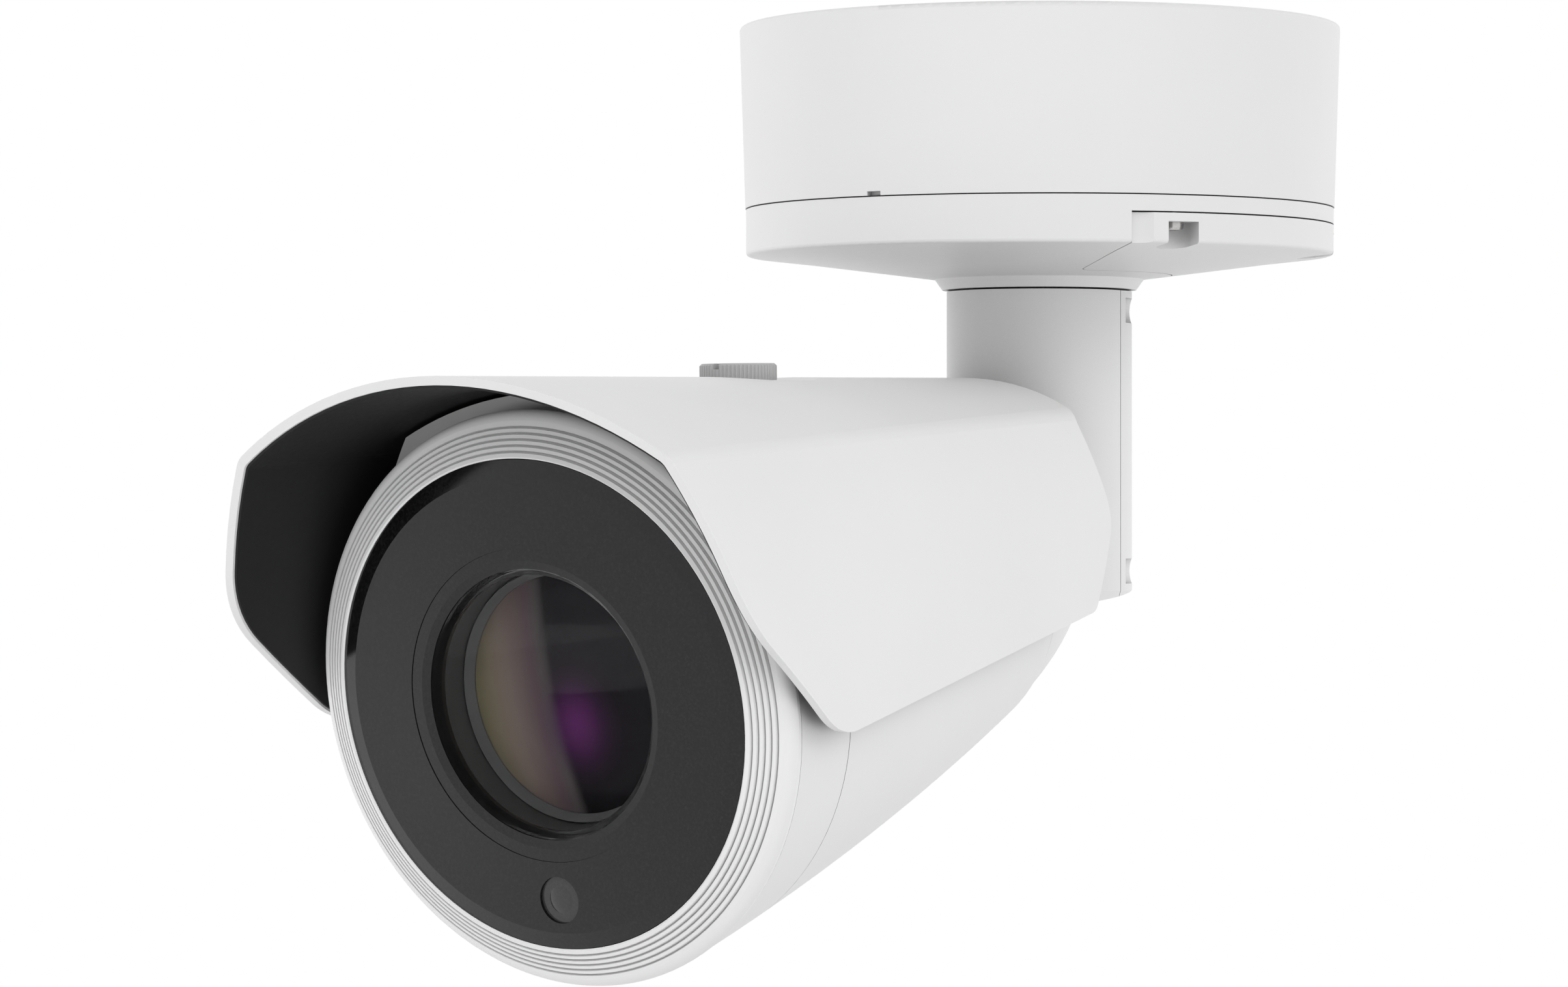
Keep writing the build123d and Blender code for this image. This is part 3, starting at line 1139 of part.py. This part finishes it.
def shield_profile(inset=0.0):
    """Side outline of the shield, as a slab across the whole width."""
    end = HOUSING_END
    corners = [(-FRONT_TOP_OUT, FRONT_TOP_V, 0), (-FRONT_KNEE_OUT, FRONT_KNEE_V, FRONT_KNEE_ROUND),
               (LOW_FRONT, LOW_V, LOW_FRONT_ROUND), (end + LOW_REAR_PAST, LOW_V, LOW_REAR_ROUND),
               (end + REAR_KNEE_PAST, REAR_KNEE_V, REAR_KNEE_ROUND),
               (end + REAR_WAIST_PAST, REAR_WAIST_V, REAR_WAIST_ROUND),
               (REAR_TOP, REAR_TOP_V, 0), (REAR_TOP, HOOD_TOP, 0), (-FRONT_TOP_OUT - 1, HOOD_TOP, 0)]
    face = make_face(Polyline(*[(s, v) for s, v, r in corners], close=True))
    for s, v, r in corners:
        if r:
            face = fillet(face.vertices().sort_by_distance(Vector(s, v, 0))[0], r)
    if inset:
        face = offset(face, -inset)
    return extrude(Plane.YZ * face, FAR, both=True)


def pad_slot(r, z0, z1, back=0.0):
    """Upright slot round the knob in the ridge frame, as long as the shield's travel."""
    face = Rot(Z=90) * SlotCenterToCenter(SLIDE_TRAVEL + back, 2 * r)
    return RIDGE * Pos(0, (SLIDE_TRAVEL - back) / 2, z0) * extrude(face, z1 - z0)


def pad_dish():
    """Flared recess that the knob sits in."""
    floor = Pos(0, SLIDE_TRAVEL / 2, -PAD_DROP) * Rot(Z=90) * SlotCenterToCenter(SLIDE_TRAVEL, 2 * PAD_R)
    rise = PAD_DROP + 1.5
    mouth_r = PAD_R + PAD_FLARE * rise
    slot = SlotCenterToCenter(SLIDE_TRAVEL, 2 * mouth_r)
    mouth = Pos(0, SLIDE_TRAVEL / 2, rise - PAD_DROP) * Rot(Z=90) * slot
    return RIDGE * loft([floor, mouth])


def sunshield():
    outer = hood_form(0, shoulder=SHOULDER_OUT)
    shell = outer - hood_form(SHIELD_T, shoulder=SHOULDER_IN)
    shell &= shield_profile()
    shell += pad_slot(PAD_R + PAD_RIM, -PAD_DROP - PAD_WALL, -0.4) & outer
    shell -= pad_dish()
    half = STUD_R + PART_LINE
    slot = Cylinder(half, 30) + Pos(0, SLIDE_TRAVEL, 0) * Cylinder(half, 30)
    slot += block(-half, half, 0, SLIDE_TRAVEL, -15, 15)
    return shell - RIDGE * slot


def shield_liner():
    shell = hood_form(SHIELD_T, shoulder=SHOULDER_IN)
    shell -= hood_form(SHIELD_T + LINER_T, shoulder=SHOULDER_IN - LINER_T)
    shell &= shield_profile(LINER_INSET)
    return shell - pad_slot(PAD_R + PAD_RIM + 0.4, -PAD_DROP - PAD_WALL - 8, 5)


def saddle_screw_spots():
    return [(0, s, housing_radius(s)) for s in SADDLE_SCREW_STATIONS]


def saddle():
    top = SHIELD_T + LINER_T + SADDLE_GAP
    side = SHIELD_T + SADDLE_SIDE_GAP
    block_form = hood_form(top, side) & block(-FAR, FAR, SADDLE_FRONT, SADDLE_REAR, SADDLE_LOW_V, FAR)
    pad_room = pad_slot(PAD_R + PAD_RIM + 1, -PAD_DROP - PAD_WALL - MOVE_GAP, 20, back=SLIDE_TRAVEL)
    hollow = hood_form(top + SADDLE_WALL + 3, side + SADDLE_WALL)
    hollow &= block(-FAR, FAR, SADDLE_FRONT + SADDLE_WALL, SADDLE_REAR - SADDLE_WALL, SADDLE_LOW_V - 5, FAR)
    form = block_form - pad_room - hollow
    for x, s, v in saddle_screw_spots():
        form += post(SADDLE_BOSS_R, v - 2, v + 12, x, s) & block_form
    form += RIDGE * (Pos(0, 0, -12) * Cylinder(STUD_BOSS_R + 1.5, 14)) & block_form
    form = form - pad_room - housing_form()
    form -= disc(BEZEL_OUT_R + 0.2, 0, BEZEL_LEN + 1)
    form -= RIDGE * (Pos(0, 0, -12) * Cylinder(STUD_R + RUN_FIT, 22))
    for x, s, v in saddle_screw_spots():
        form -= post(1.5, v - 4, v + 14, x, s)
        form -= post(3.0, v + SADDLE_SCREW_SEAT, v + 20, x, s)
    return form


def saddle_screws():
    screw = pan_screw(2.6, 1.8, 1.25, SADDLE_SCREW_LEN)
    return Compound(children=[Pos(x, s, v + SADDLE_SCREW_SEAT) * screw for x, s, v in saddle_screw_spots()])


def thumb_knob():
    low = KNOB_WASHER_T + MOVE_GAP - PAD_DROP
    head = Pos(0, 0, (low + KNOB_TOP) / 2) * Cylinder(KNOB_R, KNOB_TOP - low)
    head = chamfer(head.edges().group_by(Axis.Z)[-1], KNOB_EDGE)
    for i in range(KNOB_RIBS):
        x, y = polar(KNOB_R + 0.05, 360 / KNOB_RIBS * i)
        head -= Pos(x, y, 0) * Cylinder(KNOB_RIB_R, 20)
    head -= block(-COIN_SLOT_W / 2, COIN_SLOT_W / 2, -20, 20, KNOB_TOP - COIN_SLOT_D, KNOB_TOP + 5)
    return head + Pos(0, 0, low - STUD_LEN / 2) * Cylinder(STUD_R, STUD_LEN)


def knob_washer():
    ring = Cylinder(KNOB_WASHER_R, KNOB_WASHER_T) - Cylinder(STUD_R, 2 * KNOB_WASHER_T)
    return Pos(0, 0, MOVE_GAP + KNOB_WASHER_T / 2 - PAD_DROP) * ring


# ---- write every piece ---------------------------------------------------------------
ROOM = [back_box, box_seal, junction_board, network_jack, terminal_block, base_cover, hatch_cover,
        hatch_screws, cover_screws, pan_bush, pan_lock_screw, pan_spindle, spindle_screws, pan_retainer,
        arm_housing, arm_cover, arm_screws, tilt_bolt, tilt_nut, friction_washers]
AIMED = [tilt_knuckle, tail_collar, collar_screws, roll_retainer, rear_housing, roll_bush, housing_seal,
         front_housing, housing_screws, front_bezel, front_cover, lens_window, eye_window, led_board,
         infrared_leds, led_heat_spreader, lens_shroud, lens_barrel, front_element, rear_element,
         barrel_end_plate, guide_rods, zoom_carrier, focus_carrier, lens_motors, filter_slide,
         sensor_board, chassis, main_board, board_heat_sink, sunshield, shield_liner, saddle, saddle_screws]
ON_RIDGE = [thumb_knob, knob_washer]


def main():
    os.makedirs("parts", exist_ok=True)
    pieces = {make.__name__: make() for make in ROOM}
    pieces.update({make.__name__: CAMERA * make() for make in AIMED})
    pieces.update({make.__name__: CAMERA * RIDGE * make() for make in ON_RIDGE})
    pieces["zoom_glass"] = CAMERA * group_glass(ZOOM_STATION, ZOOM_T)
    pieces["focus_glass"] = CAMERA * group_glass(FOCUS_STATION, FOCUS_T)
    for name, side in (("zoom", 1), ("focus", -1)):
        pieces[name + "_screw"] = CAMERA * lead_screw(side)
    for name, piece in pieces.items():
        export_step(piece, f"parts/{name}.step")


main()
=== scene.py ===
import json
from math import radians
import bpy
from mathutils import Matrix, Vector

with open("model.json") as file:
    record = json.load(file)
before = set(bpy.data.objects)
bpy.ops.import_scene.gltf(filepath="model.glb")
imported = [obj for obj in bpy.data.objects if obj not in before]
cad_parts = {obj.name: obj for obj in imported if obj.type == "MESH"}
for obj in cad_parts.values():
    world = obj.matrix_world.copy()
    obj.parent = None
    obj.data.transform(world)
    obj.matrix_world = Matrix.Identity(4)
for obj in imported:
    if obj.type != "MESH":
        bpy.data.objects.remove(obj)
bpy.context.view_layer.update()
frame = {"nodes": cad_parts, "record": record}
NODES = frame["nodes"]

# centre of the dark front plate, and its lean from upright at rest
FACE = (0.0, -0.2236, -0.1792)
TILT = radians(10.2)

# painted shade: the tone of the white paint in its nooks, and the openness at which that
# painted shade is full and gone
PAINTED_SHADE_TONE = 0.55
PAINTED_SHADE_OPENNESS = (0.15, 0.82)

# noise values between which a base colour goes from its lower tone to its full one
TONE_SPAN = (0.3, 0.7)

# front glass, in metres on the plate: the slanting edge of the painted warm sheen and the
# painted violet spot, both painted reflections
PAINTED_SHEEN_LEAN = -0.115
PAINTED_SHEEN_SHIFT = -0.0035
PAINTED_SHEEN_WIDTH = 0.060
PAINTED_SPOT_X, PAINTED_SPOT_V = 0.0033, -0.0067
PAINTED_SPOT_REACH_X, PAINTED_SPOT_REACH_V = 0.0085, 0.0105
PAINTED_SPOT_FALL = 1.6
EULER = 2.718
FRONT_GLASS_IOR = 1.12

# world light on matt surfaces, from straight down (0) to straight up (1)
FILL_LEVELS = (
    (0.0, 0.78), (0.38, 0.78), (0.43, 0.44), (0.50, 0.36),
    (0.60, 0.45), (0.72, 1.22), (0.85, 0.88), (1.0, 0.42),
)
FLOOR_RADIUS = 1.8
FLOOR_Z = -0.80
FLOOR_SIDES = 96
FLOOR_TONE = 0.62

# name, place, target, width, height in metres, power in watts
LAMPS = (
    ("key", (1.9, -0.7, -0.32), (0, -0.1, -0.12), 1.4, 0.8, 9),
    ("low", (-0.7, -1.9, -0.50), (0, -0.15, -0.17), 1.4, 0.5, 7.5),
    ("side", (-1.9, -0.1, -0.05), (0, -0.1, -0.12), 1.4, 1.0, 4),
    ("rear", (0.3, 2.0, 0.0), (0, -0.1, -0.12), 1.4, 1.0, 6),
)

# the photograph's viewpoint
CAMERA_PLACE = (0.8192, -1.2826, -0.1338)
CAMERA_PITCH = 90.242
CAMERA_YAW = 35.196
CAMERA_LENS_MM = 127.61
CAMERA_SENSOR_MM = 36
CAMERA_NEAR = 0.05


def grey(value):
    return (value, value, value)


def scaled(colour, factor):
    return tuple(c * factor for c in colour)


def srgb(r, g, b):
    """Linear colour of an 8-bit display colour."""
    shares = (c / 255 for c in (r, g, b))
    return tuple(c / 12.92 if c < 0.04045 else ((c + 0.055) / 1.055) ** 2.4 for c in shares)


# ---- node helpers --------------------------------------------------------------------
class Graph:
    """A small builder for a node tree."""

    def __init__(self, owner, coords):
        owner.use_nodes = True
        self.tree = owner.node_tree
        self.tree.nodes.clear()
        self.coords = self.node("ShaderNodeTexCoord").outputs[coords]

    def node(self, kind, **props):
        made = self.tree.nodes.new(kind)
        for key, value in props.items():
            setattr(made, key, value)
        return made

    def link(self, a, b):
        self.tree.links.new(a, b)

    def ramp(self, value, stops):
        ramp = self.node("ShaderNodeValToRGB")
        elements = ramp.color_ramp.elements
        while len(elements) < len(stops):
            elements.new(0.5)
        for element, (place, colour) in zip(elements, stops):
            element.position = place
            element.color = (*colour, 1)
        self.link(value, ramp.inputs[0])
        return ramp.outputs[0]

    def math(self, operation, a, b=0.0, c=None, clamp=False):
        made = self.node("ShaderNodeMath", operation=operation, use_clamp=clamp)
        for socket, value in zip(made.inputs, (a, b, c)):
            if hasattr(value, "is_linked"):
                self.link(value, socket)
            elif value is not None:
                socket.default_value = value
        return made.outputs[0]

    def squares(self, a, b):
        """a * a + b * b."""
        return self.math("ADD", self.math("MULTIPLY", a, a), self.math("MULTIPLY", b, b))

    def span(self, value, low, high, start=0.0, end=1.0):
        """Value from start..end to low..high."""
        made = self.node("ShaderNodeMapRange")
        ends = (("From Min", start), ("From Max", end), ("To Min", low), ("To Max", high))
        for key, number in ends:
            made.inputs[key].default_value = number
        self.link(value, made.inputs["Value"])
        return made.outputs[0]

    def any_of(self, *flags):
        """1 where any of the flags is 1."""
        total = flags[0]
        for flag in flags[1:]:
            total = self.math("ADD", total, flag, clamp=True)
        return total

    def blend(self, factor, a, b):
        """One surface output or the other."""
        mix = self.node("ShaderNodeMixShader")
        for socket, value in zip(mix.inputs, (factor, a, b)):
            self.link(value, socket)
        return mix.outputs[0]


class Shader(Graph):
    """One procedural material."""

    def __init__(self, name):
        self.mat = bpy.data.materials.new(name)
        super().__init__(self.mat, "Object")
        self.out = self.node("ShaderNodeOutputMaterial")
        self.bsdf = self.node("ShaderNodeBsdfPrincipled")
        self.last_bump = None
        self.link(self.bsdf.outputs[0], self.out.inputs["Surface"])

    def put(self, **values):
        """Set plain values on the shader's own sockets."""
        for key, value in values.items():
            self.bsdf.inputs[key.replace("_", " ")].default_value = value
        return self

    def colour(self, value):
        self.link(value, self.bsdf.inputs["Base Color"])

    def rough(self, value, low, high):
        self.link(self.span(value, low, high), self.bsdf.inputs["Roughness"])

    def noise(self, scale, detail=3.0, rough=0.5, stretch=None):
        tex = self.node("ShaderNodeTexNoise")
        tex.inputs["Scale"].default_value = scale
        tex.inputs["Detail"].default_value = detail
        tex.inputs["Roughness"].default_value = rough
        source = self.coords
        if stretch:
            mapping = self.node("ShaderNodeMapping")
            mapping.inputs["Scale"].default_value = stretch
            self.link(source, mapping.inputs["Vector"])
            source = mapping.outputs[0]
        self.link(source, tex.inputs["Vector"])
        return tex.outputs["Fac"]

    def tones(self, value, colour, low):
        """The colour, drifting down to low times itself."""
        dark, full = TONE_SPAN
        return self.ramp(value, [(dark, scaled(colour, low)), (full, colour)])

    def mixed(self, factor, a, b):
        """One colour or the other."""
        mix = self.node("ShaderNodeMix", data_type="RGBA")
        self.link(factor, mix.inputs["Factor"])
        for value, socket in ((a, mix.inputs["A"]), (b, mix.inputs["B"])):
            if hasattr(value, "is_linked"):
                self.link(value, socket)
            else:
                socket.default_value = (*value, 1)
        return mix.outputs["Result"]

    def local(self, origin, turn):
        """X, Y and Z in a piece's own frame, in metres."""
        mapping = self.node("ShaderNodeMapping", vector_type="TEXTURE")
        mapping.inputs["Location"].default_value = origin
        mapping.inputs["Rotation"].default_value = turn
        self.link(self.coords, mapping.inputs["Vector"])
        split = self.node("ShaderNodeSeparateXYZ")
        self.link(mapping.outputs[0], split.inputs[0])
        return split.outputs

    def bump(self, value, strength, distance):
        """A bump over the ones before it."""
        made = self.node("ShaderNodeBump")
        made.inputs["Strength"].default_value = strength
        made.inputs["Distance"].default_value = distance
        self.link(value, made.inputs["Height"])
        if self.last_bump:
            self.link(self.last_bump.outputs[0], made.inputs["Normal"])
        self.link(made.outputs[0], self.bsdf.inputs["Normal"])
        self.last_bump = made


# ---- materials -----------------------------------------------------------------------
def paint(name, colour, rough=0.45, grain=0.035, reach=0.14):
    """Powder coat: fine orange peel, slight tone drift, and painted shade in its nooks:
    the base colour darkened by occlusion, by an amount that was tuned to the photograph."""
    s = Shader(name)
    clean = s.tones(s.noise(14, 4), colour, 0.975)
    # painted shade: the base colour darkens towards a lower tone where ambient occlusion finds
    # nooks
    hollow = s.node("ShaderNodeAmbientOcclusion", samples=6)
    hollow.inputs["Distance"].default_value = reach
    openness = s.span(hollow.outputs["AO"], 0, 1, *PAINTED_SHADE_OPENNESS)
    s.colour(s.mixed(openness, scaled(colour, PAINTED_SHADE_TONE), clean))
    s.rough(s.noise(420, 3), rough - 0.05, rough + 0.07)
    s.bump(s.noise(700, 2), grain, 0.00006)
    return s.mat


def moulded(name, colour, rough=0.5, grain=0.18, scale=3200, specular=0.5):
    """Moulded plastic with a spark-eroded grain."""
    s = Shader(name)
    s.colour(s.tones(s.noise(40, 4), colour, 0.9))
    s.rough(s.noise(700, 3), rough - 0.06, rough + 0.08)
    s.bump(s.noise(scale, 3), grain, 0.00005)
    return s.put(Specular_IOR_Level=specular).mat


def gloss_black(name, colour, rough, dish=0.0):
    """Polished dark plate with fine specks. A dish only leans the normal, by its slope."""
    s = Shader(name)
    specks = s.noise(1500, 4, 0.7)
    s.colour(s.ramp(specks, [(0.45, colour), (0.95, tuple(c + 0.02 for c in colour))]))
    s.rough(s.noise(60, 4), rough, rough + 0.05)
    s.bump(s.noise(9, 2), 0.03, 0.0002)
    if dish:
        x, _, v = s.local(FACE, (TILT, 0, 0))
        from_axis = s.math("SQRT", s.squares(x, v))
        s.bump(s.math("MULTIPLY", from_axis, -dish), 1.0, 1.0)
    return s.put(Specular_IOR_Level=0.42).mat


def metal(name, colour, rough, stretch=None):
    """Bare metal, with drawn marks where it is stretched."""
    s = Shader(name)
    marks = s.noise(900, 4, 0.6, stretch)
    s.colour(s.tones(marks, colour, 0.8))
    s.rough(marks, rough - 0.08, rough + 0.12)
    s.bump(marks, 0.2, 0.00003)
    return s.put(Metallic=1.0).mat


def glass(name, colour, index=1.5, coat=None):
    """Clear optic. A low index stands for an anti-reflection film."""
    s = Shader(name)
    s.colour(s.tones(s.noise(30, 3), colour, 0.97))
    s.rough(s.noise(200, 4), 0.0, 0.012)
    s.bump(s.noise(20, 2), 0.01, 0.0001)
    s.put(Transmission_Weight=1.0, IOR=index)
    if coat:
        s.put(Coat_Weight=1.0, Coat_Roughness=0.02, Coat_Tint=(*coat, 1))
    return s.mat


def circuit(name, colour):
    """Solder mask over copper tracks."""
    s = Shader(name)
    tracks = s.node("ShaderNodeTexBrick")
    tracks.inputs["Scale"].default_value = 220
    tracks.inputs["Mortar Size"].default_value = 0.01
    for socket, factor in (("Color1", 1.0), ("Color2", 0.8), ("Mortar", 1.6)):
        tracks.inputs[socket].default_value = (*scaled(colour, factor), 1)
    s.link(s.coords, tracks.inputs["Vector"])
    s.colour(tracks.outputs["Color"])
    s.rough(s.noise(300), 0.25, 0.4)
    s.bump(tracks.outputs["Fac"], 0.3, 0.00004)
    return s.mat


def film(name, colour):
    """Deep coloured resin under a clear coat."""
    s = Shader(name)
    s.colour(s.tones(s.noise(18, 2), colour, 0.9))
    s.rough(s.noise(80), 0.02, 0.05)
    s.bump(s.noise(12, 2), 0.02, 0.0002)
    return s.put(Coat_Weight=1.0, Coat_Roughness=0.02).mat


def front_glass_painted_reflection(name, centre, tilt):
    """Coated front element whose base colour holds a painted reflection: a warm sheen on one
    side, a dark side and a violet spot.
    The pattern is fixed to the lens and doesn't move with the viewer."""
    s = Shader(name)
    x, _, v = s.local(centre, (tilt, 0, 0))
    edge = s.math("MULTIPLY_ADD", v, PAINTED_SHEEN_LEAN, PAINTED_SHEEN_SHIFT)
    across = s.math("SUBTRACT", x, edge)
    place = s.math("MULTIPLY_ADD", across, 1 / PAINTED_SHEEN_WIDTH, 0.5)
    # painted reflection: a warm sheen on one side of the slanting edge, a dark side on the
    # other
    sheen = s.ramp(place, [
        (0.08, srgb(106, 100, 80)), (0.26, srgb(102, 91, 85)), (0.42, srgb(76, 63, 67)),
        (0.48, srgb(66, 62, 62)), (0.53, srgb(8, 6, 10)), (0.90, srgb(20, 18, 22)),
    ])
    # painted reflection: a violet spot, mixed over the painted sheen
    gx = s.math("MULTIPLY_ADD", x, 1 / PAINTED_SPOT_REACH_X, -PAINTED_SPOT_X / PAINTED_SPOT_REACH_X)
    gv = s.math("MULTIPLY_ADD", v, 1 / PAINTED_SPOT_REACH_V, -PAINTED_SPOT_V / PAINTED_SPOT_REACH_V)
    spot = s.math("POWER", EULER, s.math("MULTIPLY", s.squares(gx, gv), -PAINTED_SPOT_FALL))
    s.colour(s.mixed(spot, sheen, srgb(74, 30, 77)))
    s.rough(s.noise(200, 4), 0.03, 0.06)
    s.bump(s.noise(20, 2), 0.005, 0.0001)
    return s.put(IOR=FRONT_GLASS_IOR).mat


WHITE = grey(0.86)
LOOKS = {
    "white_paint": paint("white_paint", WHITE),
    "die_cast_painted": paint("die_cast_painted", grey(0.80), rough=0.5, grain=0.05),
    "die_cast": metal("die_cast", (0.55, 0.55, 0.56), 0.45),
    "raw_aluminium": metal("raw_aluminium", (0.62, 0.62, 0.63), 0.35, stretch=(1, 12, 1)),
    "steel": metal("steel", (0.60, 0.59, 0.58), 0.24),
    "rubber": moulded("rubber", grey(0.02), rough=0.75, grain=0.3),
    "black_liner": moulded("black_liner", (0.017, 0.017, 0.0175), 0.6, 0.15, 2400, 0.25),
    "grey_plastic": moulded("grey_plastic", grey(0.50), rough=0.45),
    "knob_grey": moulded("knob_grey", grey(0.50), rough=0.45),
    "bearing_plastic": moulded("bearing_plastic", (0.72, 0.70, 0.62), rough=0.4),
    "black_plastic": moulded("black_plastic", (0.012, 0.012, 0.013), rough=0.45),
    "green_plastic": moulded("green_plastic", (0.03, 0.24, 0.10), rough=0.45),
    "circuit_board": circuit("circuit_board", (0.02, 0.13, 0.06)),
    "led_resin": film("led_resin", (0.03, 0.01, 0.014)),
    "clear_glass": glass("clear_glass", (0.98, 0.985, 0.985), index=1.08),
    "eye_glass": gloss_black("eye_glass", (0.042, 0.042, 0.043), 0.03),
    "coated_glass": glass("coated_glass", (0.96, 0.95, 0.98), 1.3, coat=(0.65, 0.35, 0.9)),
    "filter_glass": glass("filter_glass", (0.6, 0.75, 0.72)),
}

# nodes whose look departs from the rest of their material
NODE_LOOKS = {
    "front_cover": gloss_black("dished_gloss", (0.003, 0.003, 0.0032), 0.09, dish=0.16),
    # the front element's base colour holds a painted reflection
    "front_element": front_glass_painted_reflection("front_glass_painted_reflection", FACE, TILT),
    # the ring and the shield keep their painted nook shade to a short reach
    "front_bezel": paint("ring_paint", grey(0.90), grain=0.02, reach=0.0022),
    "sunshield": paint("shield_paint", WHITE, reach=0.02),
    "lens_barrel": moulded("lens_rim", grey(0.085), 0.5, 0.05, 2400, 0.2),
    "lens_shroud": moulded("shroud", grey(0.060), 0.5, 0.05, 2400, 0.2),
}
SLOT_OF = {row["node"]: row["material_slot"] for row in frame["record"]["subparts"]}
for name, obj in NODES.items():
    obj.data.materials.clear()
    obj.data.materials.append(NODE_LOOKS.get(name) or LOOKS[SLOT_OF[name]])


# ---- studio --------------------------------------------------------------------------
def add_floor():
    """Plain pale floor, which mirror and glass rays pass to reach the background."""
    bpy.ops.mesh.primitive_circle_add(
        vertices=FLOOR_SIDES, radius=FLOOR_RADIUS, fill_type="NGON", location=(0, 0, FLOOR_Z)
    )
    obj = bpy.context.object
    obj.name = "floor"
    s = Shader("floor")
    s.colour(s.tones(s.noise(3), grey(FLOOR_TONE), 0.98))
    s.put(Roughness=0.7)
    path = s.node("ShaderNodeLightPath").outputs
    beyond = s.node("ShaderNodeBsdfTransparent").outputs[0]
    reflected = s.any_of(path["Is Glossy Ray"], path["Is Transmission Ray"])
    s.link(s.blend(reflected, s.bsdf.outputs[0], beyond), s.out.inputs["Surface"])
    obj.data.materials.append(s.mat)


def add_lamp(name, place, target, width, height, power):
    """Soft lamp, hidden from reflections."""
    data = bpy.data.lights.new(name, "AREA")
    data.shape = "RECTANGLE"
    data.size = width
    data.size_y = height
    data.energy = power
    obj = bpy.data.objects.new(name, data)
    bpy.context.scene.collection.objects.link(obj)
    obj.location = place
    obj.rotation_euler = (Vector(target) - Vector(place)).to_track_quat("-Z", "Y").to_euler()
    obj.visible_glossy = False


def add_world():
    world = bpy.data.worlds.new("studio")
    bpy.context.scene.world = world
    g = Graph(world, "Generated")
    axes = g.node("ShaderNodeSeparateXYZ")
    g.link(g.coords, axes.inputs[0])
    height = g.span(axes.outputs["Z"], 0, 1, -1, 1)
    path = g.node("ShaderNodeLightPath").outputs
    # light on matt surfaces: softer along the horizon than above and below it
    fill = g.node("ShaderNodeBackground")
    levels = [(place, grey(value)) for place, value in FILL_LEVELS]
    g.link(g.ramp(height, levels), fill.inputs[0])
    # camera, mirror and glass rays all see the plain white background
    clear = g.node("ShaderNodeBackground")
    clear.inputs[0].default_value = (1, 1, 1, 1)
    seen = g.any_of(path["Is Camera Ray"], path["Is Glossy Ray"], path["Is Transmission Ray"])
    lit = g.blend(seen, fill.outputs[0], clear.outputs[0])
    g.link(lit, g.node("ShaderNodeOutputWorld").inputs[0])


def add_camera():
    data = bpy.data.cameras.new("camera")
    data.lens = CAMERA_LENS_MM
    data.sensor_width = CAMERA_SENSOR_MM
    data.clip_start = CAMERA_NEAR
    obj = bpy.data.objects.new("camera", data)
    bpy.context.scene.collection.objects.link(obj)
    obj.location = CAMERA_PLACE
    obj.rotation_euler = (radians(CAMERA_PITCH), 0, radians(CAMERA_YAW))
    bpy.context.scene.camera = obj


add_world()
add_floor()
for row in LAMPS:
    add_lamp(*row)
add_camera()
bpy.context.scene.view_settings.view_transform = "Standard"
